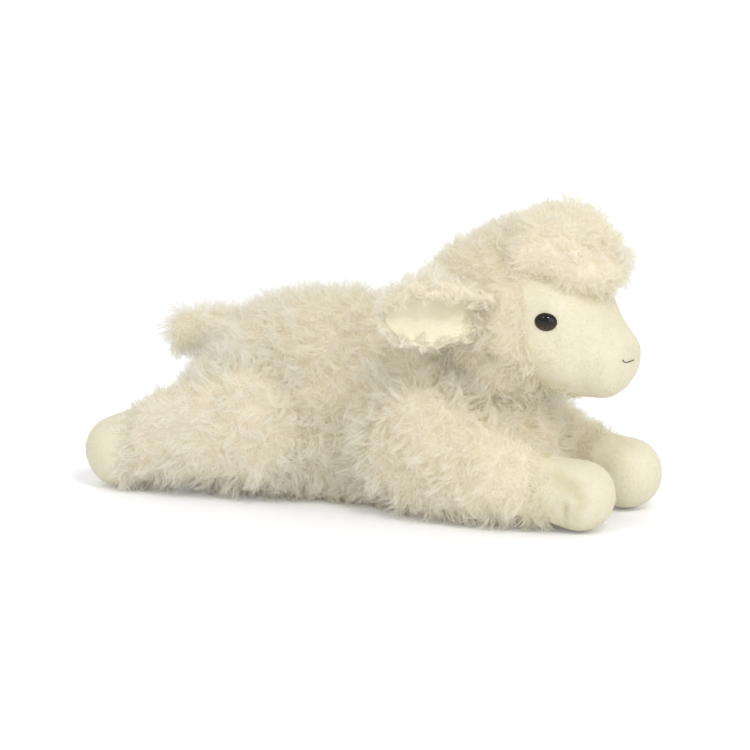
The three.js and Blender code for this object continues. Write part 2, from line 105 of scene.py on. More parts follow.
def closedRings(rings, firstTip, lastTip):
    around = len(rings[0])
    points = np.vstack([[firstTip], *rings, [lastTip]])
    faces = []
    last = len(points) - 1
    for k in range(around):
        n = (k + 1) % around
        faces.append((0, 1 + n, 1 + k))
        for r in range(len(rings) - 1):
            a, b = 1 + r * around, 1 + (r + 1) * around
            faces.append((a + k, a + n, b + n, b + k))
        b = 1 + (len(rings) - 1) * around
        faces.append((b + k, b + n, last))
    return points, faces


roundness = {"plump": 2.25, "ellipse": 2}  # the power of a ring's outline


def ringOf(centre, widthwise, heightwise, halfWidth, halfHeight, around, kind="plump"):
    turns = np.linspace(0, 2 * math.pi, around, endpoint=False)
    power = lambda v: np.sign(v) * np.abs(v) ** (2 / roundness[kind])
    return (centre + np.outer(power(np.cos(turns)) * halfWidth, widthwise)
            + np.outer(power(np.sin(turns)) * halfHeight, heightwise))


def roundedForm(form, grow, rings, around):
    rows = np.array(form["rows"])
    shares = np.r_[0, rows[:, 0], 1]
    tall = np.r_[0, (rows[:, 1] - rows[:, 2]) * form["height"] / 2 + grow, 0] ** 2
    wide = np.r_[0, rows[:, 3] * form["halfWidth"] + grow, 0] ** 2
    middle = form["bottom"] + form["height"] * np.r_[
        form["tips"][0], (rows[:, 1] + rows[:, 2]) / 2, form["tips"][1]]
    u = (1 - np.cos(np.linspace(0, math.pi, rings + 2)[1:-1])) / 2
    along = lambda share: form["back"] + form["length"] / 2 + (share - 0.5) * (form["length"] + 2 * grow)
    heights, widths, levels = (eased(shares, v, u) for v in (tall, wide, middle))
    made = [ringOf(np.array([along(s), 0, z]), (0, 1, 0), (0, 0, 1), math.sqrt(w), math.sqrt(h), around)
            for s, z, w, h in zip(u, levels, widths, heights)]
    return closedRings(made, (along(0), 0, middle[0]), (along(1), 0, middle[-1]))


roundEnd = [math.radians(a) for a in (78, 64, 50, 36, 24, 12)]


def limbForm(limb, grow, steps=22, around=44):
    knots = lengthsAlong(limb["centres"])
    at = np.linspace(0, knots[-1], steps)
    spine = easedLine(knots, limb["centres"], at)
    tall = eased(knots, np.array(limb["halfHeight"]) + grow, at)
    wide = eased(knots, np.array(limb["halfWidth"]) + grow, at)
    ways = unit(np.gradient(spine, axis=0))

    def ringAt(i, turn):
        widthwise = unit(np.array([0, 1, 0]) - ways[i] * ways[i][1])
        heightwise = np.cross(ways[i], widthwise)
        centre = spine[i] + ways[i] * math.sin(turn) * tall[i]
        scale = math.cos(turn)
        return ringOf(centre, widthwise, heightwise, wide[i] * scale, tall[i] * scale, around)

    rings = [ringAt(0, -turn) for turn in roundEnd]
    rings += [ringAt(i, 0) for i in range(steps)]
    rings += [ringAt(steps - 1, turn) for turn in reversed(roundEnd)]
    return closedRings(rings, spine[0] - ways[0] * tall[0], spine[-1] + ways[-1] * tall[-1])


def ballForm(centre, radius, rings=26, around=44):
    centre = np.array(centre, float)
    turns = np.linspace(0, math.pi, rings + 2)[1:-1]
    made = [ringOf(centre - [radius * math.cos(t), 0, 0], (0, 1, 0), (0, 0, 1),
                   radius * math.sin(t), radius * math.sin(t), around, "ellipse") for t in turns]
    return closedRings(made, centre - [radius, 0, 0], centre + [radius, 0, 0])


def trianglesOf(faces):
    return np.array([t for f in faces
                     for t in ([f] if len(f) == 3 else [(f[0], f[1], f[2]), (f[0], f[2], f[3])])])


def normalsOf(points, triangles):
    a, b, c = (points[triangles[:, i]] for i in range(3))
    facing = np.cross(b - a, c - a)
    normals = np.zeros_like(points)
    for i in range(3):
        np.add.at(normals, triangles[:, i], facing)
    return unit(normals)


def swollen(form, out):
    points, faces = form
    return points + normalsOf(points, trianglesOf(faces)) * out[:, None], faces


# Soft lumps of the stuffing, by smooth noise that is read at a place of its own for each seed
def lumpy(form, height, size, seed):
    start = Vector((seed * 7.3, 0, 0))
    return swollen(form, np.array([noise.noise(Vector(p / size) + start) for p in form[0]]) * height)


def onGround(form, low=0.4):
    points = form[0].copy()
    points[:, 2] = np.maximum(points[:, 2], low)
    return points, form[1]


# The part of a form with the faces that are kept, or whose points all are
def partOf(form, keptFaces):
    points, faces = form
    faces = [f for f, kept in zip(faces, keptFaces) if kept]
    used = sorted({i for f in faces for i in f})
    place = {old: new for new, old in enumerate(used)}
    return points[used], [tuple(place[i] for i in f) for f in faces]


def cutWhere(form, keptPoints):
    return partOf(form, [all(keptPoints[i] for i in f) for f in form[1]])


def facingOut(form, side):
    return form if side > 0 else (form[0], [tuple(reversed(f)) for f in form[1]])


# Finishes. A Wire is a socket in a material, so sums are written as plain maths
class Wire:
    def __init__(self, tree, socket=None):
        self.tree, self.socket = tree, socket

    def feed(self, into, value):
        if isinstance(value, Wire):
            self.tree.links.new(value.socket, into)
        else:
            into.default_value = value

    def node(self, kind, settings=None, sockets=None, output=0):
        made = self.tree.nodes.new(kind)
        for key, value in (settings or {}).items():
            setattr(made, key, value)
        for key, value in (sockets or {}).items():
            self.feed(made.inputs[key], value)
        return Wire(self.tree, made.outputs[output])

    def math(self, operation, first, second):
        return self.node("ShaderNodeMath", {"operation": operation}, {0: first, 1: second})

    def __add__(self, other): return self.math("ADD", self, other)
    def __radd__(self, other): return self.math("ADD", other, self)
    def __sub__(self, other): return self.math("SUBTRACT", self, other)
    def __rsub__(self, other): return self.math("SUBTRACT", other, self)
    def __mul__(self, other): return self.math("MULTIPLY", self, other)
    def __rmul__(self, other): return self.math("MULTIPLY", other, self)
    def __pow__(self, other): return self.math("POWER", self, other)
    def __rpow__(self, other): return self.math("POWER", other, self)

    def between(self, low, high):
        return self.node("ShaderNodeMapRange", {"clamp": True},
                         {"Value": self, "From Min": low, "From Max": high})

    # two colours mixed: sockets 6 and 7 are the colours of a Mix node, and share is how much of the second
    def mixed(self, share, first, second):
        wrap = lambda c: c if isinstance(c, Wire) else (*c, 1)
        return self.node("ShaderNodeMix", {"data_type": "RGBA"},
                         {"Factor": share, 6: wrap(first), 7: wrap(second)}, output=2)

    def colour(self, first, second):
        return self.mixed(self, first, second)

    # noise whose bumps are about size millimetres wide
    def speckle(self, size, detail=2.0):
        return self.node("ShaderNodeTexNoise", {"noise_dimensions": "3D"},
                         {"Vector": self, "Scale": 1 / (size * mm), "Detail": detail, "Roughness": 0.55})

    def bump(self, strength, relief):
        return self.node("ShaderNodeBump",
                         sockets={"Strength": strength, "Distance": relief * mm, "Height": self})

    def coat(self, sockets):
        self.node("ShaderNodeBsdfPrincipled", sockets=sockets).intoSurface()

    def intoSurface(self, output="ShaderNodeOutputMaterial"):
        self.feed(self.tree.nodes.new(output).inputs["Surface"], self)


def rgb(code):
    shares = [int(code[i:i + 2], 16) / 255 for i in (0, 2, 4)]
    return tuple(c / 12.92 if c <= 0.04045 else ((c + 0.055) / 1.055) ** 2.4 for c in shares)


# A new material and the Wire of the place in it
def newFinish(name):
    finish = bpy.data.materials.new(name)
    finish.use_nodes = True
    finish.node_tree.nodes.clear()
    return finish, Wire(finish.node_tree).node("ShaderNodeTexCoord", output="Object")


middleTones = (0.35, 0.65)  # most of a noise lies between these
# front and rear are painted light: the wool is tinted yellower towards the front, where the light falls, and greyer
# towards the rear
woolLook = {"tip": rgb("fffefa"), "root": rgb("f2ead7"), "shade": rgb("fbfaf5"), "glow": rgb("fefdf6"),
            "through": 0.6, "front": rgb("fdf6df"), "rear": rgb("f8f6f0")}
napLook = {"tip": rgb("f1eddb"), "root": rgb("ebe6d0"), "shade": rgb("f0ecdc"), "glow": rgb("f9f5e6"),
           "through": 0.8, "front": rgb("f0ebd6"), "rear": rgb("ebe8dc")}
# the share of each tint, and from where to where along the lamb, in metres, the rear goes over to the front; this
# front to rear tint is painted light, yellower where the light falls
tints = {"drift": 0.35, "driftSize": 38, "lock": 0.2, "strand": 0.36, "place": 0.38,
         "rearAt": -0.12, "frontAt": 0.1, "tipPower": 0.8}


# The colour attribute holds how far along the strand a point lies, a tone of the strand's and one of its lock's
def woolFinish(name, look):
    finish, place = newFinish(name)
    attribute = place.node("ShaderNodeAttribute", {"attribute_name": "strand"}, output="Color")
    along = place.node("ShaderNodeSeparateColor", sockets={"Color": attribute})
    tone, lock = (Wire(place.tree, socket) for socket in along.socket.node.outputs[1:3])
    drift = place.speckle(tints["driftSize"]).between(*middleTones)
    base = (along ** tints["tipPower"]).colour(look["root"], look["tip"])
    base = (drift * tints["drift"] + lock * tints["lock"]).colour(base, look["shade"])
    base = (tone * tints["strand"]).colour(base, look["root"])
    forward = place.node("ShaderNodeSeparateXYZ", sockets={"Vector": place})
    # painted light: yellower towards the front, where the light falls, and greyer towards the rear
    paintedFrontLight = forward.between(tints["rearAt"], tints["frontAt"]).colour(look["rear"], look["front"])
    front = place.node("ShaderNodeBsdfPrincipled", sockets={
        "Base Color": place.mixed(tints["place"], base, paintedFrontLight), "Roughness": 0.8,
        "Specular IOR Level": 0.25, "Sheen Weight": 0.15, "Sheen Roughness": 0.5})
    through = place.node("ShaderNodeBsdfTranslucent", sockets={"Color": (*look["glow"], 1)})
    place.node("ShaderNodeMixShader", sockets={0: look["through"], 1: front, 2: through}).intoSurface()
    return finish


# the shade colour is painted shade for the bottom of creases, mixed in up to the share that follows it
plushLook = {"nap": 0.7, "patch": 14.0, "shade": rgb("cfc6a2"), "hollow": 0.75, "bump": 0.14, "relief": 0.3}


# This attribute paints shade into the bottom of a crease, darkening it where the crease's shadow falls
def plushFinish(name, light, deep):
    finish, place = newFinish(name)
    nap = place.speckle(plushLook["nap"], 3.0)
    patch = place.speckle(plushLook["patch"], 1.0).between(*middleTones)
    base = (nap.between(0.3, 0.75) * 0.5 + patch * 0.5).colour(rgb(deep), rgb(light))
    hollow = place.node("ShaderNodeAttribute", {"attribute_name": "hollow"}, output="Fac")
    place.coat({"Base Color": (hollow * plushLook["hollow"]).colour(base, plushLook["shade"]),
                "Roughness": 0.9, "Specular IOR Level": 0.15, "Sheen Weight": 0.25, "Sheen Roughness": 0.4,
                "Normal": (nap + patch * 0.8).bump(plushLook["bump"], plushLook["relief"])})
    return finish


def plainFinish(name, light, deep, size, detail, roughness, specular, bump, relief):
    finish, place = newFinish(name)
    grain = place.speckle(size, detail)
    place.coat({"Base Color": grain.between(0.3, 0.7).colour(rgb(deep), rgb(light)), "Roughness": roughness,
                "Specular IOR Level": specular, "Normal": grain.bump(bump, relief)})
    return finish


# brown in the lower part of the dome, partly the eye's own brown and partly a painted reflection of the pale floor,
# and nearly black above it; low and high are levels in metres
eyeLook = {"low": 0.1082, "high": 0.1118, "waver": 0.001, "brownAndPaintedReflection": rgb("3a2a1b"), "black": rgb("080503")}


def eyeFinish():
    finish, place = newFinish("glossyEye")
    cloud = place.speckle(5, 1.0)
    height = place.node("ShaderNodeSeparateXYZ", sockets={"Vector": place}, output=2)
    # painted reflection: the dome goes brown below this level, partly its own colour and partly the pale floor
    # reflected
    above = (height + cloud * eyeLook["waver"]).between(eyeLook["low"], eyeLook["high"])
    place.coat({"Base Color": above.colour(eyeLook["brownAndPaintedReflection"], eyeLook["black"]),
                "Roughness": cloud * 0.02 + 0.02, "IOR": 1.45, "Specular IOR Level": 0.5})
    return finish


# light and deep colour, grain size and detail, roughness, specular, bump strength and relief
plainLooks = {
    "backing": ("woolBacking", "f1e8d3", "e9dfc9", 1.2, 2.0, 0.95, 0.1, 0.5, 0.4),
    "thread": ("darkThread", "4a3f35", "2b241e", 0.5, 3.0, 0.8, 0.5, 0.4, 0.1),
    "fibre": ("stuffingFibre", "fdfdfd", "ecebe8", 2.0, 3.0, 0.95, 0.5, 0.4, 0.6),
    "calico": ("calicoBag", "e8dfcb", "d8ccb2", 0.6, 3.0, 0.9, 0.5, 0.4, 0.15),
    "washer": ("washerPlastic", "eeeeeb", "dfdfdb", 1.5, 3.0, 0.45, 0.5, 0.4, 0.05),
}
finishes = {
    "wool": woolFinish("curlyWool", woolLook),
    "nap": woolFinish("plushNap", napLook),
    "plush": plushFinish("shortPlush", "eae4cd", "e3ddc4"),
    "lining": plushFinish("earPlush", "f1ebd3", "eae3c8"),
    "eye": eyeFinish(),
    **{key: plainFinish(*look) for key, look in plainLooks.items()},
}
print("finishes made:", len(finishes))


def putInScene(name, data):
    made = bpy.data.objects.new(name, data)
    bpy.context.scene.collection.objects.link(made)
    return made


# The way to something so many degrees round from the lamb's right side and so many up
def wayTo(around, up):
    around, up = math.radians(around), math.radians(up)
    return np.array([math.sin(around) * math.cos(up), -math.cos(around) * math.cos(up), math.sin(up)])


def aimed(made, way):
    made.rotation_euler = Vector(way).to_track_quat("Z", "Y").to_euler()


# The camera looks from the photo's angle, from far off
view = {"around": 25.0, "up": 12.0, "shiftRight": 0.53, "shiftUp": 63.9, "away": 5490.0, "lens": 500.0,
        "sensor": 36, "clip": 50}


def addCamera():
    toCamera = wayTo(view["around"], view["up"])
    around = math.radians(view["around"])
    right = np.array([math.cos(around), math.sin(around), 0])
    target = right * view["shiftRight"] + np.cross(toCamera, right) * view["shiftUp"]
    data = bpy.data.cameras.new("photoCamera")
    data.lens, data.sensor_width, data.clip_end = view["lens"], view["sensor"], view["clip"]
    camera = putInScene("photoCamera", data)
    camera.location = Vector((target + toCamera * view["away"]) * mm)
    aimed(camera, toCamera)
    bpy.context.scene.camera = camera


addCamera()

# Soft studio light: an even room, two soft boxes above that also show in the eyes, a low fill from in
# front of the lamb and a back light. Each lamp: strength, how many degrees wide, how far round and up
light = {"room": 0.76, "lamps": {"key": (0.6, 11, 44, 45), "side": (0.18, 10, -6, 45),
                                 "fill": (0.72, 54, 66, 12), "back": (0.25, 60, 205, 35)}}


def addLights():
    world = bpy.data.worlds.new("studio")
    bpy.context.scene.world = world
    world.use_nodes = True
    world.node_tree.nodes.clear()
    seen = Wire(world.node_tree).node("ShaderNodeLightPath", output="Is Camera Ray")
    strength = seen + (1 - seen) * light["room"]  # white to the camera
    shown = seen.node("ShaderNodeBackground", sockets={"Color": (1, 1, 1, 1), "Strength": strength})
    shown.intoSurface("ShaderNodeOutputWorld")
    for name, (strength, wide, around, up) in light["lamps"].items():
        data = bpy.data.lights.new(name, "SUN")
        data.energy, data.angle = strength, math.radians(wide)
        aimed(putInScene(name, data), wayTo(around, up))


addLights()

# The glow is seen by the camera alone, and lifts the paper to white outside the shadow
floor = {"half": 4000, "grain": 40, "light": (0.94, 0.94, 0.965), "deep": (0.93, 0.93, 0.955), "glow": 0.13}


def addFloor():
    finish, place = newFinish("paperFloor")
    seen = place.node("ShaderNodeLightPath", output="Is Camera Ray")
    place.coat({"Base Color": place.speckle(floor["grain"]).colour(floor["deep"], floor["light"]),
                "Roughness": 1.0, "Specular IOR Level": 0.0,
                "Emission Color": (1, 1, 1, 1), "Emission Strength": seen * floor["glow"]})
    half = floor["half"] * mm
    mesh = bpy.data.meshes.new("floor")
    mesh.from_pydata([(-half, -half, 0), (half, -half, 0), (half, half, 0), (-half, half, 0)], [], [(0, 1, 2, 3)])
    mesh.materials.append(finish)
    putInScene("floor", mesh)


addFloor()
print("camera, light and floor placed")

# The stuffed forms of the lamb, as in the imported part. Each row of a form gives, as shares of its
# length, height and half width: how far along it lies, its top, its bottom and its half width
forms = {
    "torso": {"back": -95.75, "length": 186, "bottom": 0, "height": 102, "halfWidth": 30, "tips": (0.42, 0.37),
              "rows": [(0.02, 0.61, 0.21, 0.46), (0.07, 0.77, 0.06, 0.72), (0.16, 0.905, -0.03, 0.89),
                       (0.28, 0.98, -0.055, 0.97), (0.44, 1, -0.055, 1), (0.66, 0.95, -0.055, 0.98),
                       (0.82, 0.85, -0.04, 0.91), (0.91, 0.74, 0.01, 0.8), (0.965, 0.61, 0.1, 0.6),
                       (0.99, 0.5, 0.22, 0.36)]},
    "head": {"back": 40.75, "length": 105, "bottom": 67.5, "height": 83, "halfWidth": 35.5, "tips": (0.65, 0.23),
             "rows": [(0.045, 0.76, 0.56, 0.46), (0.155, 0.875, 0.45, 0.745), (0.26, 0.95, 0.32, 0.9),
                      (0.4, 0.995, 0.175, 0.985), (0.575, 0.99, 0.057, 0.99), (0.665, 0.93, 0.018, 0.945),
                      (0.76, 0.81, 0, 0.835), (0.835, 0.63, 0, 0.7), (0.9, 0.48, 0.005, 0.61),
                      (0.955, 0.38, 0.055, 0.53), (0.987, 0.325, 0.13, 0.37)]},
    "topknot": {"back": 81.25, "length": 63, "bottom": 121, "height": 43, "halfWidth": 38, "tips": (0.55, 0.42),
                "rows": [(0.03, 0.72, 0.36, 0.4), (0.13, 0.89, 0.15, 0.72), (0.34, 0.99, 0.02, 0.96),
                         (0.6, 0.95, -0.02, 0.9), (0.82, 0.79, -0.01, 0.71), (0.93, 0.63, 0.07, 0.54),
                         (0.985, 0.48, 0.18, 0.3)]},
}
# A limb's round sections on its centres. The foot is sewn on so far behind the last of them
limbs = {
    "front": {"centres": [(46.25, 37, 38), (78.25, 37, 29), (108.25, 34, 23.5), (132.25, 30, 19)],
              "halfHeight": (29, 21, 15.5, 17), "halfWidth": (13, 14.5, 14, 16.5), "footSeam": 18},
    "hind": {"centres": [(-53.75, 36, 42), (-86.75, 37, 35), (-112.75, 35, 27.5), (-131.75, 34, 19.5)],
             "halfHeight": (28, 21.5, 17, 17.5), "halfWidth": (12, 13.5, 13.5, 16.5), "footSeam": 11},
    "tail": {"centres": [(-88.75, 0, 82), (-98.25, 0, 81), (-107.75, 0, 80)],
             "halfHeight": (7.5, 7.5, 7.5), "halfWidth": (7.5, 7.5, 7.5)},
}
neckBall = {"centre": (76.25, 0, 87), "radius": 33}
faceSeam = {"at": (101.25, 0, 109.0), "lean": 6}


def pastFaceSeam(points):
    lean = math.radians(faceSeam["lean"])
    return (points - np.array(faceSeam["at"])) @ np.array([math.cos(lean), 0, math.sin(lean)])


legs = {sideName: [] for sideName in sides}
for sideName, side in sides.items():
    for kind, forward in (("front", 1), ("hind", -1)):
        centres = [(x, y * side, z) for x, y, z in limbs[kind]["centres"]]
        legs[sideName].append({
            "kind": kind, "name": f"{kind}_leg_{sideName}", "side": side, "forward": forward,
            "shape": {**limbs[kind], "centres": centres},
            "seamX": centres[-1][0] - forward * limbs[kind]["footSeam"]})
legNames = [leg["name"] for pair in legs.values() for leg in pair]


def pastFootSeam(leg, points):
    return leg["forward"] * (points[:, 0] - leg["seamX"])


def skinOf(form):
    points, faces = form
    triangles = trianglesOf(faces)
    return {"form": form, "points": points, "triangles": triangles, "normals": normalsOf(points, triangles),
            "tree": BVHTree.FromPolygons([Vector(p) for p in points], faces)}


# How far each cover's backing stands off the stuffing's outline. Wool adds about five more
grow = {"torso": 3.2, "neck": -3.2, "cap": 2.2, "face": 1.4, "topknot": -1.6, "tail": 2.4, "leg": 3.0, "foot": 1.2}
# the height, size and seed of the lumps
lumps = {"torso": (2.2, 26, 1), "topknot": (4.0, 17, 3), "leg": (1.5, 22, 5)}

# Marks: each is a place on the right side, how wide it spreads and how far it sinks, or swells where
# it is below 0. A crease is a line with the same two sizes
marks = {
    "face": [((113.5, -33.0, 110.1), 7.0, 1.1), ((116.0, -33.0, 118.5), 7.0, -1.0),
             ((110.0, -35.0, 93.0), 12.0, -2.2), ((112.0, -22.0, 68.5), 7.0, -1.0),
             ((124.0, -31.0, 92.0), 9.0, 0.6), ((141.0, -14.0, 88.0), 9.0, -0.6),
             ((132.0, -20.0, 101.0), 9.0, 0.4)],
    "topknot": [((130.0, 2.0, 157.0), 18.0, 3.4), ((140.0, 12.0, 150.0), 15.0, 2.4)],
    "cap": [((52.0, 0.0, 142.0), 15.0, 2.0), ((84.0, -33.0, 94.0), 13.0, -3.2), ((88.0, -33.0, 108.0), 10.0, -3.0)],
    "neck": [((86.0, -26.0, 72.0), 12.0, -2.5)],
}
jawLine = [(96.5, -31.0, 84.0), (101.5, -27.5, 78.0), (106.0, -25.0, 75.0), (113.0, -24.5, 73.5),
           (119.5, -23.5, 72.5)]
creases = {
    "face": [(jawLine, 3.0, 0.8)],
    "front": [([(124.5, -45.0, 32.0), (130.0, -46.5, 28.5), (136.0, -46.0, 26.0)], 5.0, 1.2),
              ([(139.0, -46.5, 21.0), (137.5, -47.0, 15.0), (134.5, -45.0, 8.0)], 1.9, 1.3),
              ([(131.5, -46.8, 16.0), (130.4, -46.5, 10.0), (129.0, -43.0, 3.5)], 1.9, 1.2),
              ([(135.5, -47.5, 19.0), (134.4, -47.3, 13.0), (132.5, -45.0, 6.0)], 1.6, -1.0)],
    "hind": [],
}
deepest = 1.3  # of a crease, because the stuffing lies under it


def sinkAt(points, marks, creases):
    sink = np.zeros(len(points))
    for place, wide, depth in marks:
        for way in (1, -1):
            if way > 0 or place[1]:
                gap = np.linalg.norm(points - np.array(place) * [1, way, 1], axis=1)
                sink += depth * np.exp(-(gap / wide) ** 2)
    for line, wide, depth in creases:
        fine = easedLine(np.linspace(0, 1, len(line)), line, np.linspace(0, 1, 30))
        for way in (1, -1):
            gap = np.min(np.linalg.norm(points[:, None] - (fine * [1, way, 1])[None], axis=2), axis=1)
            sink += depth * np.exp(-(gap / wide) ** 2)
    return sink


def pressed(form, marks=(), creases=()):
    return swollen(form, -sinkAt(form[0], marks, creases))


# The edge of a wool cover tucks in under the cover that it is sewn to
tuck = {"cap": (1.4, -5, 2), "leg": (2.9, -6, 2)}


def tucked(form, past, kind):
    depth, start, end = tuck[kind]
    return swollen(form, -depth * smoothStep(past, start, end))


# how many rings each form has, and how many points in a ring
fineness = {"torso": (60, 64), "cap": (60, 64), "face": (110, 112), "topknot": (36, 56), "foot": (60, 80)}
topShift = [-0.5, 0, 0]

skins = {}
torsoForm = onGround(lumpy(roundedForm(forms["torso"], grow["torso"], *fineness["torso"]), *lumps["torso"]))
skins["neck"] = skinOf(pressed(ballForm(neckBall["centre"], neckBall["radius"] + grow["neck"]), marks["neck"]))
capForm = roundedForm(forms["head"], grow["cap"], *fineness["cap"])
skins["cap"] = skinOf(pressed(tucked(capForm, pastFaceSeam(capForm[0]), "cap"), marks["cap"]))
faceForm = roundedForm(forms["head"], grow["face"], *fineness["face"])
skins["face"] = skinOf(pressed(faceForm, marks["face"], creases["face"]))
topForm = roundedForm(forms["topknot"], grow["topknot"], *fineness["topknot"])
topPoints, topFaces = lumpy(topForm, *lumps["topknot"])
skins["topknot"] = skinOf(pressed((topPoints + topShift, topFaces), marks["topknot"]))
skins["tail"] = skinOf(limbForm(limbs["tail"], grow["tail"]))
for pair in legs.values():
    for leg in pair:
        height, size, seed = lumps["leg"]
        sleeve = lumpy(limbForm(leg["shape"], grow["leg"]), height, size, leg["side"] + seed)
        skins[leg["name"]] = skinOf(onGround(tucked(sleeve, pastFootSeam(leg, sleeve[0]), "leg")))
        foot = pressed(limbForm(leg["shape"], grow["foot"], *fineness["foot"]), creases=creases[leg["kind"]])
        skins[leg["name"] + "_foot"] = skinOf(onGround(foot))


# How near each place is to other covers, from 0 to 1 where it touches one
def nearness(places, others, reach=15.0):
    near = np.zeros(len(places))
    for other in others:
        tree = skins[other]["tree"]
        gaps = np.array([tree.find_nearest(Vector(p), reach)[3] or reach for p in places])
        near = np.maximum(near, 1 - gaps / reach)
    return near


# The torso swells a little towards the legs, so that the wool joins without a gap, and its chest fills
# the space between the front legs
swell = {"out": 6.5, "reach": 16.0, "power": 1.3, "from": 8, "to": 24}
chest = {"forward": 11.0, "wide": 17.0, "from": 60, "to": 94, "level": 35.0, "tall": 24.0}


def fullChest(form):
    points, faces = form
    x, y, z = points.T
    push = chest["forward"] * np.exp(-(y / chest["wide"]) ** 2 - ((z - chest["level"]) / chest["tall"]) ** 2)
    x += push * smoothStep(x, chest["from"], chest["to"])
    return points, faces


atLegs = nearness(torsoForm[0], legNames, swell["reach"]) ** swell["power"]
raised = smoothStep(torsoForm[0][:, 2], swell["from"], swell["to"])
skins["torso"] = skinOf(fullChest(swollen(torsoForm, swell["out"] * atLegs * raised)))
print("stuffed forms made:", len(skins))

# The ears: a leaf of wool whose top rolls forward over a plush lining
ear = {
    "root": (77.95, 39.82, 113.5), "sweepBack": 36.0, "length": 52.0, "halfWidth": 19.0, "rootHalfWidth": 10.0,
    "bluntTip": 0.06, "tipPower": 2.4, "rows": 36, "columns": 30,
    "rim": 0.84, "tipRim": 4,  # from which share of the half width, and how near the tip, the rim starts
    # the leaf seen end on: how far forward and how far up each point lies, from its lower edge to the rolled lip
    "section": [(6.5, -15.5), (2.6, -12.0), (0.2, -5.5), (-0.8, 1.5), (0.2, 9.0), (3.2, 15.0), (8.0, 17.6),
                (12.2, 15.2), (13.4, 10.8)],
    # each layer from start to end along the ear and over a share of the section, with half its
    # thickness and that of the layer under it
    "leaf": {"start": -7.0, "end": 52.0, "from": 0, "to": 1, "thick": 1.7, "under": 0},
    "lining": {"start": 4.0, "end": 50.0, "from": 0.03, "to": 0.74, "thick": 0.9, "under": 1.7},
}


def earFrame(side):
    out = math.radians(ear["sweepBack"])
    along = np.array([-math.cos(out), side * math.sin(out), 0])
    facing = side * np.cross(along, [0, 0, 1])
    return np.array(ear["root"]) * [1, side, 1], along, facing


def alongEar(side, points):
    root, along, _ = earFrame(side)
    return (points - root) @ along


def leafHalfWidth(distance):
    share = np.clip(distance / ear["length"], 0, 1)
    swell = np.sin(np.minimum(1, 2 * share) * math.pi / 2)
    past = np.maximum(0, 2 * share - 1)
    wide = ear["rootHalfWidth"] + (ear["halfWidth"] - ear["rootHalfWidth"]) * swell
    return wide * np.sqrt(np.maximum(0, 1 + ear["bluntTip"] * (1 - past) - past ** ear["tipPower"]))


# One layer of the ear, and for each of its points 1 on the back, 0.5 on the rim and 0 in the cup
def leafForm(side, layer):
    root, along, facing = earFrame(side)
    columns, end = ear["columns"], layer["end"]
    knots = lengthsAlong(ear["section"])
    shares = np.linspace(layer["from"], layer["to"], columns)
    line = easedLine(knots / knots[-1], ear["section"], shares)
    way = unit(np.gradient(line, axis=0))
    inward = np.stack([way[:, 1], -way[:, 0]], 1)  # towards the lining
    plump = lambda across, size: size * np.sqrt(np.clip(1 - np.abs(across) ** 6, 0.02, 1))
    across = np.linspace(-1, 1, columns)
    body = plump(across, layer["thick"])
    raised = plump(2 * shares - 1, layer["under"]) + body * 0.8 if layer["under"] else body * 0
    rim = np.abs(across) > ear["rim"]
    rings, outer = [], []
    u = 1 - (1 - np.linspace(0, 1, ear["rows"])) ** 1.7  # closer together near the tip
    for d in layer["start"] + (end - layer["start"]) * u[:-1]:
        k = max(leafHalfWidth(d * ear["length"] / end), 0.5) / ear["halfWidth"]
        thinner = min(1.0, 0.35 + k)
        outside = line * k - inward * ((body - raised) * thinner)[:, None]
        inside = line * k + inward * ((body + raised) * thinner)[:, None]
        ring = np.vstack([outside, inside[::-1]])
        rings.append(root + along * d + np.outer(ring[:, 0], facing) + np.outer(ring[:, 1], (0, 0, 1)))
        atEdge = rim | (d > end - ear["tipRim"])
        outer.append(np.r_[np.where(rim, 0.5, 1), atEdge * 0.5])
    tip = root + along * (end + 0.4) + facing * (line[:, 0].mean() * 0.03 + layer["under"])
    base = root + along * (layer["start"] - 0.3) + facing * (line[columns // 2, 0] + layer["under"])
    return facingOut(closedRings(rings, base, tip), side), np.r_[1, np.concatenate(outer), 0.5]


for sideName, side in sides.items():
    form, outer = leafForm(side, ear["leaf"])
    nearRoot = alongEar(side, form[0]) < ear["lining"]["start"] - 0.5
    skins[f"ear_back_{sideName}"] = {**skinOf(form), "woolly": ((outer == 1) | nearRoot).astype(float)}
    skins[f"ear_rim_{sideName}"] = {**skinOf(form), "woolly": (outer == 0.5).astype(float)}
    skins[f"ear_lining_{sideName}"] = skinOf(leafForm(side, ear["lining"])[0])

# The covers as sewn pieces
pieces = {}


def addPiece(name, mesh, finish, body):
    piece = putInScene(name, mesh)
    mesh.materials.append(finishes[finish])
    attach(piece, body)
    pieces[name] = piece
    return piece


def addSolid(name, form, finish, body, nodes):
    points, faces = form
    mesh = bpy.data.meshes.new(name)
    mesh.from_pydata((points * mm).tolist(), [], faces)
    mesh.polygons.foreach_set("use_smooth", [True] * len(mesh.polygons))
    mesh.validate()
    piece = addPiece(name, mesh, finish, body)
    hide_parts(*nodes)
    return piece


def addCover(name, form, finish, body, nodes, creases=()):
    piece = addSolid(name, form, finish, body, nodes)
    # with creases the cover also gets painted shade, darkest at the bottom of each crease
    if creases:
        hollow = np.clip(sinkAt(form[0], [], creases) / deepest, 0, 1)
        shade = piece.data.color_attributes.new("hollow", "FLOAT_COLOR", "POINT")
        shade.data.foreach_set("color", np.repeat(hollow, 4).astype(np.float32))


# How high the belly's panel reaches, and how far past its seam each cover goes on under its neighbour
seams = {"belly": 11, "cap": 2, "face": -7, "sleeve": 3, "foot": -8}

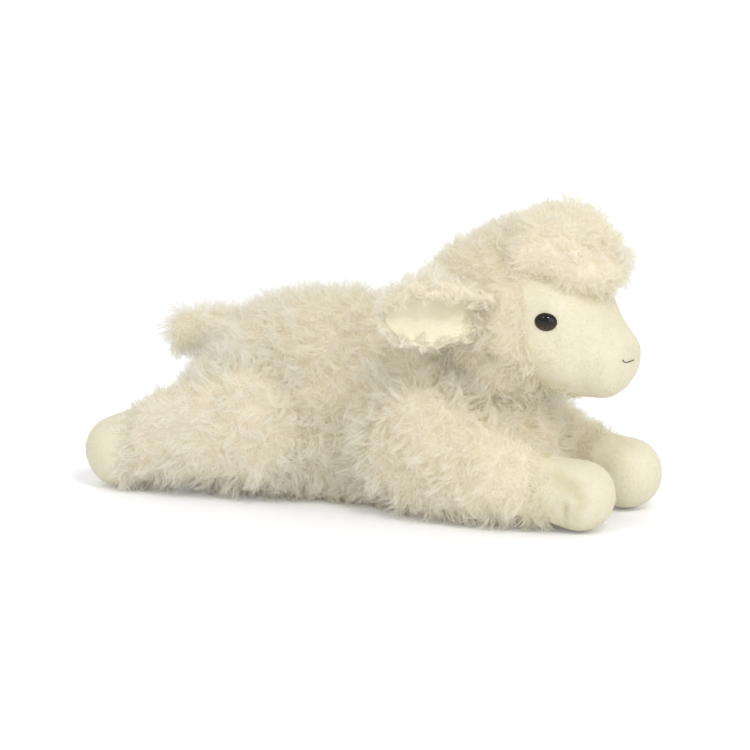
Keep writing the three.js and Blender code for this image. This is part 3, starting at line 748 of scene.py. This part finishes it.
torso = skins["torso"]["form"]
middles = np.array([torso[0][list(f)].mean(0) for f in torso[1]])
onBelly = middles[:, 2] < seams["belly"]
onLeft = middles[:, 1] > 0
addCover("side_panel_left", partOf(torso, ~onBelly & onLeft), "backing", "torso", ["body_side_left"])
addCover("side_panel_right", partOf(torso, ~onBelly & ~onLeft), "backing", "torso", ["body_side_right"])
addCover("belly_skin", partOf(torso, onBelly), "backing", "torso", ["belly_panel"])
addCover("neck_skin", skins["neck"]["form"], "backing", "neck", ["neck_sleeve"])
cap, front = skins["cap"]["form"], skins["face"]["form"]
addCover("cap_skin", cutWhere(cap, pastFaceSeam(cap[0]) < seams["cap"]), "backing", "head", ["head_cap"])
addCover("face", cutWhere(front, pastFaceSeam(front[0]) > seams["face"]), "plush", "head", ["face_cover"],
         creases["face"])
addCover("topknot_skin", skins["topknot"]["form"], "backing", "head", ["topknot"])
addCover("tail_skin", skins["tail"]["form"], "backing", "tail", ["tail_cover"])
for sideName, pair in legs.items():
    for leg in pair:
        kind, sleeve, foot = leg["kind"], skins[leg["name"]]["form"], skins[leg["name"] + "_foot"]["form"]
        addCover(f"{kind}_leg_skin_{sideName}", cutWhere(sleeve, pastFootSeam(leg, sleeve[0]) < seams["sleeve"]),
                 "backing", leg["name"], [f"{kind}_leg_sleeve_{sideName}"])
        addCover(f"{kind}_foot_cover_{sideName}", cutWhere(foot, pastFootSeam(leg, foot[0]) > seams["foot"]),
                 "plush", leg["name"], [f"{kind}_foot_{sideName}"], creases[kind])
    addCover(f"ear_leaf_{sideName}", skins[f"ear_back_{sideName}"]["form"], "backing", f"ear_{sideName}",
             [f"ear_back_{sideName}"])
    addCover(f"ear_plush_{sideName}", skins[f"ear_lining_{sideName}"]["form"], "lining", f"ear_{sideName}",
             [f"ear_lining_{sideName}"])
print("covers sewn:", len(pieces))

# Eyes and mouth. The rim gives each ring's radius as a share and its height, from the shank up
eye = {"from": (113.4, 32.6, 110.0), "axis": (0.3256, 0.9455, 0), "wide": 5.95, "tall": 4.95, "height": 3.6,
       "reach": 30, "sunk": 0.4, "shank": 12.0, "tilt": 7.0, "around": 64, "domeRings": 17,
       "rim": [(0.33, -1.6), (0.86, -1.5), (0.95, -1.1), (0.99, -0.6)]}


def addEye(sideName, side):
    axis = unit(np.array(eye["axis"]) * [1, side, 1])
    start = np.array(eye["from"]) * [1, side, 1] + axis * eye["reach"]
    place = np.array(skins["face"]["tree"].ray_cast(Vector(start), Vector(-axis))[0]) - axis * eye["sunk"]
    flatWay = unit(np.cross([0, 0, 1], axis)) * side
    tilt = math.radians(eye["tilt"])
    widthwise = flatWay * math.cos(tilt) - np.array([0, 0, 1]) * math.sin(tilt) * np.sign(flatWay[0])
    heightwise = np.cross(axis, widthwise) * side
    turns = np.linspace(0, math.pi / 2, eye["domeRings"] + 1)[:-1]
    profile = [(eye["rim"][0][0], -eye["shank"])] + eye["rim"]
    profile += [(math.cos(a), eye["height"] * math.sin(a)) for a in turns]
    rings = [ringOf(place + axis * h, widthwise, heightwise, r * eye["wide"], r * eye["tall"], eye["around"],
                    "ellipse") for r, h in profile]
    form = closedRings(rings, place - axis * eye["shank"], place + axis * eye["height"])
    addSolid(f"eye_dome_{sideName}", facingOut(form, side), "eye", "head", [f"eye_{sideName}"])


for sideName, side in sides.items():
    addEye(sideName, side)

# The stitch as seen from the front, from its right end: how far across and how high. It is a twisted thread
mouth = {"line": [(-10.0, 88.3), (-8.4, 87.1), (-5.8, 86.4), (-1.5, 86.0), (3.4, 85.9)], "thick": 0.25,
         "before": 200, "clear": 0.12, "steps": 41, "around": 12, "ply": 0.18, "twist": 0.9, "end": 0.3}


def addMouth():
    line = []
    across, level = np.array(mouth["line"]).T
    for y in np.linspace(across[0], across[-1], mouth["steps"]):
        start = Vector((mouth["before"], y, eased(across, level, y)))
        hit, facing, _, _ = skins["face"]["tree"].ray_cast(start, Vector((-1, 0, 0)))
        line.append(np.array(hit) + np.array(facing) * mouth["clear"])
    line = np.array(line)
    ways = unit(np.gradient(line, axis=0))
    turns = np.linspace(0, 2 * math.pi, mouth["around"], endpoint=False)
    rings = []
    for i, (place, way) in enumerate(zip(line, ways)):
        first = unit(np.cross(way, [1.0, 0, 0]))
        second = np.cross(first, way)
        radius = mouth["thick"] * (1 + mouth["ply"] * np.cos(2 * (turns + i * mouth["twist"])))
        rings.append(place + np.outer(np.cos(turns) * radius, first) + np.outer(np.sin(turns) * radius, second))
    form = closedRings(rings, line[0] - ways[0] * mouth["end"], line[-1] + ways[-1] * mouth["end"])
    addSolid("mouth_thread", form, "thread", "head", ["mouth_stitch"])


addMouth()
print("eyes and mouth set")


# Wool. Strands are flat tapered ribbons: they gather into wisps, and wisps into curling locks

def scatter(skin, density, rng, area=None):
    points, triangles = skin["points"], skin["triangles"]
    if area is not None:
        triangles = triangles[area(points[triangles].mean(1))]
    a, b, c = (points[triangles[:, i]] for i in range(3))
    areas = np.linalg.norm(np.cross(b - a, c - a), axis=1) / 2
    count = int(areas.sum() * density)
    chosen = rng.choice(len(areas), count, p=areas / areas.sum())
    first, second = rng.random(count), rng.random(count)
    over = first + second > 1
    first[over], second[over] = 1 - first[over], 1 - second[over]
    mix = np.stack([1 - first - second, first, second], 1)[:, :, None]
    corners = triangles[chosen]
    places, normals = (points[corners] * mix).sum(1), unit((skin["normals"][corners] * mix).sum(1))
    if "woolly" in skin:
        woolly = (skin["woolly"][corners][:, :, None] * mix).sum(1)[:, 0] >= 0.45
        places, normals = places[woolly], normals[woolly]
    return places, normals


# Points about gap apart, taken from many loose ones
def spaced(places, gap):
    cells, kept = {}, []
    around = [(x, y, z) for x in (-1, 0, 1) for y in (-1, 0, 1) for z in (-1, 0, 1)]
    for i, p in enumerate(places):
        x, y, z = (p // gap).astype(int)
        near = (j for dx, dy, dz in around for j in cells.get((x + dx, y + dy, z + dz), ()))
        if all(((places[j] - p) ** 2).sum() >= gap * gap for j in near):
            cells.setdefault((x, y, z), []).append(i)
            kept.append(i)
    return np.array(kept)


def nearestOf(places, targets):
    tree = KDTree(len(targets))
    for i, p in enumerate(targets):
        tree.insert(p, i)
    tree.balance()
    return np.array([tree.find(p)[1] for p in places])


# How wisps stray from their lock and strands from their wisp: turn, rise and lie in radians, length and
# swing as shares. Fuzz is the strands that stray more. A power says how late along the hair a thing acts
stray = {
    "wisp": {"turn": 0.3, "length": (0.78, 1.12), "swing": (0.6, 1.4), "rise": 0.12, "lie": 0.22},
    "strand": {"turn": 0.22, "length": (0.8, 1.06), "rise": 0.1, "lie": 0.15,
               "fuzzLoose": 4.5, "fuzzLength": (0.45, 0.95), "fuzzPull": (0, 0.4)},
}
powers = {"bend": 0.75, "swing": 1.5, "lockPull": 1.2, "wispPull": 0.8, "taper": 2.2}
ribbon = {"rootWidth": 0.75, "narrowing": 0.85, "clear": 0.35, "clearSpread": 0.4, "round": 0.35,
          "flatten": 0.4, "twist": 0.45, "tipTone": 0.8, "curlTone": 0.5}
curl = {"turn": 0.5, "length": (1.0, 1.3), "rise": 0.1, "lie": 0.35, "swing": (1.2, 3.6), "clear": 0.6,
        "twist": 0.3, "from": 2}


# Each path leaves the skin steeply, bends over to lie along it and swings sideways as it goes
def pathsOf(hair, count):
    steps = np.linspace(0, 1, count)
    across = np.cross(hair["normals"], hair["combs"])
    path = [hair["roots"]]
    for s in (steps[:-1] + steps[1:]) / 2:
        tilt = (hair["rise"] + (hair["lie"] - hair["rise"]) * s ** powers["bend"])[:, None]
        turn = (hair["swing"] * s ** powers["swing"])[:, None]
        flat = hair["combs"] * np.cos(turn) + across * np.sin(turn)
        way = flat * np.cos(tilt) + hair["normals"] * np.sin(tilt)
        path.append(path[-1] + way * (hair["lengths"] / (count - 1))[:, None])
    return np.stack(path, 1)


def layLocks(roots, normals, wool, comb, seed, rng):
    count = len(roots)
    start = Vector((seed, 0, 0))
    swirl = np.array([noise.noise(Vector(p / wool["swirlSize"]) + start) for p in roots])
    turn = swirl * wool["swirl"] + rng.normal(0, wool["stir"], count)
    return {"roots": roots, "normals": normals,
            "combs": turned(flattened(comb(roots, normals), normals), normals, turn),
            "lengths": rng.uniform(*wool["length"], count),
            "swing": rng.uniform(*wool["curl"], count) * np.where(rng.random(count) < 0.5 + swirl, 1, -1),
            "rise": np.radians(rng.uniform(*wool["rise"], count)),
            "lie": np.radians(rng.uniform(*wool["lie"], count))}


def follow(leaders, which, roots, normals, stray, rng, isFuzz=None):
    count = len(roots)
    loose = 1.0 if isFuzz is None else np.where(isFuzz, stray["fuzzLoose"], 1.0)
    hair = {"roots": roots, "normals": normals, "swing": leaders["swing"][which]}
    turn = rng.normal(0, stray["turn"], count) * loose
    hair["combs"] = turned(flattened(leaders["combs"][which], normals), normals, turn)
    hair["lengths"] = leaders["lengths"][which] * rng.uniform(*stray["length"], count)
    if isFuzz is None:
        hair["swing"] = hair["swing"] * rng.uniform(*stray["swing"], count)
    else:
        hair["lengths"] = hair["lengths"] * np.where(isFuzz, rng.uniform(*stray["fuzzLength"], count), 1)
    hair["rise"] = leaders["rise"][which] + rng.normal(0, stray["rise"], count) * loose
    hair["lie"] = leaders["lie"][which] + rng.normal(0, stray["lie"], count) * loose
    return hair


def pulled(paths, middles, pull, power):
    steps = np.linspace(0, 1, paths.shape[1])[None, :, None]
    return paths + (middles - paths) * pull * steps ** power


# Some wisps end in one thicker, paler curl that stands out of the rest
def layCurls(wisps, wispPaths, wool, rng):
    chosen = rng.random(len(wispPaths)) < wool["curls"]
    count = chosen.sum()
    roots, normals = wisps["roots"][chosen], wisps["normals"][chosen]
    ways = flattened(wispPaths[chosen, curl["from"]] - roots, normals)
    paths = pathsOf({
        "roots": roots, "normals": normals, "combs": turned(ways, normals, rng.normal(0, curl["turn"], count)),
        "lengths": wisps["lengths"][chosen] * rng.uniform(*curl["length"], count),
        "rise": wisps["rise"][chosen] + curl["rise"], "lie": wisps["lie"][chosen] + curl["lie"],
        "swing": rng.uniform(*curl["swing"], count) * rng.choice([-1, 1], count)}, wool["steps"])
    paths[..., 2] = np.maximum(paths[..., 2], curl["clear"])
    facing = unit(normals[:, None] + rng.normal(0, curl["twist"], (count, 1, 3)))
    return paths, unit(np.cross(unit(np.gradient(paths, axis=1)), facing))


def growWool(name, skinName, body, wool, comb, seed, keep=None, area=None, nextTo=(), trim=None):
    rng = np.random.default_rng(seed)
    skin = skins[skinName]
    roots, normals = scatter(skin, wool["density"], rng, area)
    if keep is not None:
        kept = np.array([keep(p, n) for p, n in zip(roots, normals)], bool)
        roots, normals = roots[kept], normals[kept]
    loose, looseNormals = scatter(skin, 2.5 / wool["wispGap"] ** 2, rng, area)
    chosen = spaced(loose, wool["wispGap"])
    wispRoots, wispNormals = loose[chosen], looseNormals[chosen]
    chosen = spaced(wispRoots, wool["lockGap"])
    lockRoots = wispRoots[chosen]
    wispLock, strandWisp = nearestOf(wispRoots, lockRoots), nearestOf(roots, wispRoots)

    locks = layLocks(lockRoots, wispNormals[chosen], wool, comb, seed, rng)
    locks["lengths"] *= 1 + wool["fill"] * nearness(lockRoots, nextTo)
    if trim is not None:
        locks["lengths"] *= trim(lockRoots)
    wisps = follow(locks, wispLock, wispRoots, wispNormals, stray["wisp"], rng)
    wispPaths = pulled(pathsOf(wisps, wool["steps"]), pathsOf(locks, wool["steps"])[wispLock],
                       wool["lockPull"], powers["lockPull"])
    count = len(roots)
    isFuzz = rng.random(count) < wool["fuzz"]
    strands = follow(wisps, strandWisp, roots, normals, stray["strand"], rng, isFuzz)
    middles = wispPaths[strandWisp]
    pull = np.where(isFuzz, rng.uniform(*stray["strand"]["fuzzPull"], count), wool["wispPull"])
    paths = pulled(pathsOf(strands, wool["steps"]), middles, pull[:, None, None], powers["wispPull"])
    ground = ribbon["clear"] + ribbon["clearSpread"] * rng.random(count)
    paths[..., 2] = np.maximum(paths[..., 2], ground[:, None])

    # a rounded wisp: its ribbons face away from its middle as well as from the skin
    ways = unit(np.gradient(paths, axis=1))
    away = (paths - middles) / (wool["wispGap"] * 0.5)
    facing = normals[:, None, :] + np.clip(away, -1, 1) * ribbon["round"]
    facing = unit(facing - ways * dot(facing, ways) * ribbon["flatten"])
    facing = unit(facing + rng.normal(0, ribbon["twist"], (count, 1, 3)))
    tones = rng.random(count)
    lockTones = rng.random(len(lockRoots))[wispLock[strandWisp]]
    taper = 1 - ribbon["narrowing"] * np.linspace(0, 1, wool["steps"]) ** powers["taper"]
    taper[0] *= ribbon["rootWidth"]
    halves = unit(np.cross(ways, facing)) * (wool["width"] * taper)[None, :, None] / 2
    pale = np.zeros(count)
    if wool["curls"]:
        curlPaths, curlSides = layCurls(wisps, wispPaths, wool, rng)
        paths = np.concatenate([paths, curlPaths])
        halves = np.concatenate([halves, curlSides * (wool["curlWidth"] * taper)[None, :, None] / 2])
        tones, lockTones, pale = (np.r_[values, np.full(len(curlPaths), more)] for values, more in (
            (tones, 0), (lockTones, 0.5), (pale, ribbon["curlTone"])))
    buildRibbons(name, paths, halves, (tones, lockTones, pale), body, wool)
    return count


# Two points a step and one at the tip, with the tones that the finish reads
def buildRibbons(name, paths, halves, tones, body, wool):
    count, steps = paths.shape[:2]
    perStrand = 2 * steps - 1
    halves[:, -1] = 0
    points = np.stack([paths - halves, paths + halves], 2).reshape(count, -1, 3)[:, :-1]
    quads = np.array([(2 * i, 2 * i + 1, 2 * i + 3, 2 * i + 2) for i in range(steps - 2)])
    tip = np.array([perStrand - 3, perStrand - 2, perStrand - 1])
    corners = np.concatenate([quads.ravel(), tip])
    loops = (corners[None, :] + np.arange(count)[:, None] * perStrand).ravel()
    sizes = np.tile(np.r_[np.full(steps - 2, 4), 3], count)
    mesh = bpy.data.meshes.new(name)
    mesh.vertices.add(count * perStrand)
    mesh.vertices.foreach_set("co", (points * mm).ravel())
    mesh.loops.add(len(loops))
    mesh.loops.foreach_set("vertex_index", loops)
    mesh.polygons.add(len(sizes))
    mesh.polygons.foreach_set("loop_start", np.r_[0, np.cumsum(sizes)[:-1]])
    mesh.polygons.foreach_set("use_smooth", np.ones(len(sizes), bool))
    mesh.update(calc_edges=True)
    strandTone, lockTone, pale = (values[:, None] for values in tones)
    along = pale + np.linspace(0, 1, steps) * (np.where(pale > 0, 1, ribbon["tipTone"]) - pale)
    colours = np.ones((count, perStrand, 4), np.float32)
    colours[..., 0] = np.repeat(along, 2, 1)[:, :-1]
    colours[..., 1], colours[..., 2] = strandTone, lockTone
    mesh.color_attributes.new("strand", "FLOAT_COLOR", "POINT").data.foreach_set("color", colours.ravel())
    piece = addPiece(name, mesh, wool["finish"], body)


# Strands per square millimetre, sizes in millimetres, rise and lie in degrees, curl and stir in radians;
# fill is how much longer it grows beside its neighbours
longWool = {
    "density": 1.75, "wispGap": 1.9, "lockGap": 5.5, "length": (9.0, 15.0), "width": 0.17,
    "rise": (55, 85), "lie": (-5, 45), "curl": (0.8, 3.2), "swirl": 1.6, "swirlSize": 22.0, "stir": 0.9,
    "lockPull": 0.55, "wispPull": 0.82, "fuzz": 0.3, "fill": 0.45, "steps": 6, "curls": 0.75, "curlWidth": 0.32,
    "finish": "wool", "slot": "curly_wool",
}
capWool = {**longWool, "length": (8.0, 12.5), "density": 1.68}
throatWool = {**longWool, "length": (4.5, 8.5), "rise": (15, 55), "lie": (-25, 20)}
topWool = {**longWool, "length": (5.5, 9.5), "wispGap": 2.0, "lockGap": 4.5, "density": 1.9, "stir": 1.2,
           "curl": (1.4, 4.0), "swirl": 2.4, "swirlSize": 14.0}
tailWool = {**longWool, "length": (8.0, 12.0)}
legWool = {**longWool, "length": (8.5, 13.5), "fill": 0.7, "stir": 1.1, "density": 1.55}
cuffWool = {**longWool, "length": (8.0, 12.0), "rise": (15, 50), "lie": (-25, 10), "stir": 0.5,
            "curl": (0.3, 2.0), "density": 1.6}
earWool = {**longWool, "length": (8.0, 12.5), "density": 2.0}
overLining = {**earWool, "density": 3.0, "length": (4.0, 8.5), "rise": (5, 40), "lie": (-25, 10),
              "curl": (0.5, 2.5), "stir": 1.0}
fringe = {**earWool, "width": 0.15, "density": 6.5, "length": (4.5, 9.0), "rise": (10, 65), "lie": (-25, 35),
          "curl": (0.5, 2.8), "lockGap": 3.0}
nap = {**longWool, "density": 3.4, "wispGap": 1.5, "lockGap": 4.0, "length": (0.7, 1.3), "width": 0.11,
       "rise": (25, 50), "lie": (5, 35), "curl": (0.0, 0.8), "stir": 0.5, "lockPull": 0.0, "wispPull": 0.35,
       "fuzz": 0.3, "fill": 0.0, "steps": 3, "curls": 0, "finish": "nap", "slot": "short_plush"}
cheekNap = {**nap, "density": 4.5, "length": (1.8, 3.0), "lie": (5, 40), "rise": (40, 70), "finish": "wool",
            "curl": (0.2, 1.4), "stir": 0.9}
seeds = {"body": 10, "neck": 20, "cap": 21, "topknot": 22, "tail": 23, "throat": 24, "leg": 30, "ear": 40,
         "fringe": 42, "overLining": 44, "cuff": 50, "face": 60, "cheek": 61, "foot": 70, "earNap": 80}
underneath = {"level": 1.2, "facing": -0.5, "share": 0.35}  # where the lamb rests, fewer strands will do


# Whether a strand is wanted: not deep inside another cover, and only some where the lamb rests
def wanted(others, depth=9.0):
    trees = [(skins[o]["points"].min(0), skins[o]["points"].max(0), skins[o]["tree"]) for o in others]

    def keep(point, normal):
        if point[2] < underneath["level"] and normal[2] < underneath["facing"]:
            return (point[0] * 7.7 + point[1] * 3.1) % 1 < underneath["share"]
        for low, high, tree in trees:
            if (point > low).all() and (point < high).all():
                near, facing, _, distance = tree.find_nearest(Vector(point))
                if (Vector(point) - near).dot(facing) < 0 and distance > depth:
                    return False
        return True
    return keep


# Combs: which way the wool lies on the skin

def towards(direction):
    return lambda points, normals: np.broadcast_to(np.array(direction, float), points.shape)


# Down the leg, forward over the edge of the foot, and along the top inward over the join with the torso.
# The ways are those of the left front leg
legComb = {"down": (0.5, 0.2, -1.0), "overFoot": (1.5, 0, -0.4), "onTop": (-0.5, -1.3, 0.2),
           "footFrom": -16, "footTo": -2, "topFacing": 0.95, "topShare": 0.8}


def overFoot(leg):
    down, forward, inward = (np.array(legComb[way]) * [leg["forward"], leg["side"], 1]
                             for way in ("down", "overFoot", "onTop"))

    def comb(points, normals):
        atFoot = smoothStep(pastFootSeam(leg, points), legComb["footFrom"], legComb["footTo"])[:, None]
        onTop = smoothStep(normals[:, 2], 0.0, legComb["topFacing"])[:, None] * (1 - atFoot) * legComb["topShare"]
        return down * (1 - atFoot - onTop) + forward * atFoot + inward * onTop
    return comb


# A place on the left as it is, and one on the right mirrored to the left
def onLeftSide(points):
    return points * [1, 0, 1] + np.abs(points) * [0, 1, 0]


# Down beside the face, back and down behind it, and back round the root of the ear
capComb = {"behind": (-0.6, 0, -1.0), "beside": (0.8, 0, -0.9), "atEar": (-1.0, 0, -0.25), "outward": 0.5,
           "faceFrom": -14, "faceTo": -3, "earReach": 15}


def besideFace(points, normals):
    atFace = smoothStep(pastFaceSeam(points), capComb["faceFrom"], capComb["faceTo"])[:, None]
    outward = np.sign(points[:, 1:2]) * [0, 1.0, 0]
    gap = np.linalg.norm(onLeftSide(points) - np.array(ear["root"]), axis=1)
    atEar = np.exp(-(gap / capComb["earReach"]) ** 2)[:, None] * (1 - atFace)
    plain = np.array(capComb["behind"]) * (1 - atFace) + np.array(capComb["beside"]) * atFace
    return plain * (1 - atEar) + (np.array(capComb["atEar"]) + outward * capComb["outward"]) * atEar


# Away from the middle of the topknot, and more outward than down
topComb = {"middle": (112, 0, 165.0), "stretch": [1, 1, 0.6]}


def fromTop(points, normals):
    return (points - np.array(topComb["middle"])) * topComb["stretch"]


# Where each cover's wool starts or ends past the seams, and how much shorter it is on top of the ankle
edges = {"cap": 2.2, "underJaw": 0.3, "jawEnd": 121, "sleeve": 4, "cuffFrom": -6, "cuffTo": 3.5,
         "overLining": 5, "nap": -3}
ankle = {"shorter": 0.45, "from": 78, "to": 104, "low": 24, "high": 34}


total = 0
cuts = (-200, -50, 0, 45, 200)  # the body's wool in pieces along the lamb, so that none gets too large
number = 0
for i, (low, high) in enumerate(zip(cuts[:-1], cuts[1:])):
    for sideName, side in sides.items():
        total += growWool(f"body_wool_{sideName}_{i + 1}", "torso", "torso", longWool, towards((-0.45, 0, -1)),
                          seeds["body"] + number, keep=wanted(["neck", "cap", "tail"]), nextTo=legNames + ["neck"],
                          area=lambda m: (m[:, 0] >= low) & (m[:, 0] < high) & ((m[:, 1] > 0) == (side > 0)))
        number += 1
total += growWool("neck_wool", "neck", "neck", longWool, towards((0.3, 0, -1)), seeds["neck"],
                  keep=wanted(["torso", "cap"]), nextTo=["torso"])
total += growWool("cap_wool", "cap", "head", capWool, besideFace, seeds["cap"],
                  keep=wanted(["topknot", "neck"], depth=5), area=lambda m: pastFaceSeam(m) < edges["cap"],
                  nextTo=["ear_lining_left", "ear_lining_right"])


# Under the jaw, the face's cover has the wool of the throat up to the crease
def underJaw(m):
    x, _, z = np.array(jawLine).T
    below = m[:, 2] < np.interp(m[:, 0], x, z) - edges["underJaw"]
    return (pastFaceSeam(m) > 0) & (m[:, 0] < edges["jawEnd"]) & below


total += growWool("throat_wool", "face", "head", throatWool, towards((-0.2, 0, -1)), seeds["throat"],
                  keep=wanted(["neck"], depth=2), area=underJaw)
total += growWool("topknot_wool", "topknot", "head", topWool, fromTop, seeds["topknot"],
                  keep=wanted(["cap", "face"], depth=4))
total += growWool("tail_wool", "tail", "tail", tailWool, towards((-1, 0, -0.5)), seeds["tail"],
                  keep=wanted(["torso"]))
for sideName, side in sides.items():
    for leg in legs[sideName]:
        kind, forward, name = leg["kind"], leg["forward"], leg["name"]
        seed = side + forward * 2
        onAnkle = lambda m: 1 - (ankle["shorter"] * smoothStep(forward * m[:, 0], ankle["from"], ankle["to"])
                                 * smoothStep(m[:, 2], ankle["low"], ankle["high"]))
        atCuff = lambda m: (pastFootSeam(leg, m) < edges["cuffTo"]) & (pastFootSeam(leg, m) > edges["cuffFrom"])
        total += growWool(f"{kind}_leg_wool_{sideName}", name, name, legWool, overFoot(leg), seeds["leg"] + seed,
                          keep=wanted(["torso"]), area=lambda m: pastFootSeam(leg, m) < edges["sleeve"],
                          nextTo=["torso"], trim=onAnkle)
        total += growWool(f"{kind}_leg_cuff_{sideName}", name, name, cuffWool, towards((forward, 0, -0.35)),
                          seeds["cuff"] + seed, area=atCuff, trim=onAnkle)
    along, body, notInCap = earFrame(side)[1], f"ear_{sideName}", wanted(["cap"], depth=4)
    total += growWool(f"ear_wool_{sideName}", f"ear_back_{sideName}", body, earWool,
                      towards(along * 0.6 + [0, 0, -1]), seeds["ear"] + side, keep=wanted(["cap"], depth=6))
    total += growWool(f"ear_root_wool_{sideName}", f"ear_lining_{sideName}", body, overLining,
                      towards(along + [0, 0, -0.3]), seeds["overLining"] + side, keep=notInCap,
                      area=lambda m: alongEar(side, m) < ear["lining"]["start"] + edges["overLining"])
    total += growWool(f"ear_fringe_{sideName}", f"ear_rim_{sideName}", body, fringe,
                      towards(along * 0.7 + [0, 0, -1]), seeds["fringe"] + side, keep=notInCap)
print("strands of wool:", total)

# The short pile of the face, feet and ear linings, and the longer one of the cheeks
cheek = {"at": np.array([111.0, 34.0, 92.0]), "radius": 15, "stretch": [1, 0.6, 0.85]}


def fromCheek(points, stretch=1):
    return np.linalg.norm((onLeftSide(points) - cheek["at"]) * stretch, axis=1)


total = growWool("face_nap", "face", "head", nap, towards((-1, 0, -0.4)), seeds["face"],
                 keep=wanted(["topknot", "neck"], depth=3), area=lambda m: pastFaceSeam(m) > edges["nap"])
for sideName, side in sides.items():
    for leg in legs[sideName]:
        total += growWool(f"{leg['kind']}_foot_nap_{sideName}", leg["name"] + "_foot", leg["name"], nap,
                          towards((-leg["forward"] * 0.6, 0, -1)), seeds["foot"] + side + leg["forward"] * 2,
                          area=lambda m: pastFootSeam(leg, m) > edges["nap"])
    total += growWool(f"ear_nap_{sideName}", f"ear_lining_{sideName}", f"ear_{sideName}", nap,
                      towards(earFrame(side)[1]), seeds["earNap"] + side)
total += growWool("cheek_nap", "face", "head", cheekNap, towards((-0.3, 0, -1)), seeds["cheek"],
                  keep=wanted(["neck"], 3), area=lambda m: fromCheek(m, cheek["stretch"]) < cheek["radius"],
                  trim=lambda m: 1.1 - 0.07 * fromCheek(m))
print("strands of nap:", total)

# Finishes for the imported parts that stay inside
inner = {"stuffing": "fibre", "weight_bag": "calico", "washer": "washer"}
for nodeName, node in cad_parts.items():
    for word, finish in inner.items():
        if word in nodeName:
            if not node.material_slots:
                node.data.materials.append(None)
            for slot in node.material_slots:
                slot.material = finishes[finish]

bpy.context.scene.view_settings.view_transform = "Standard"
print("pieces:", len(pieces))
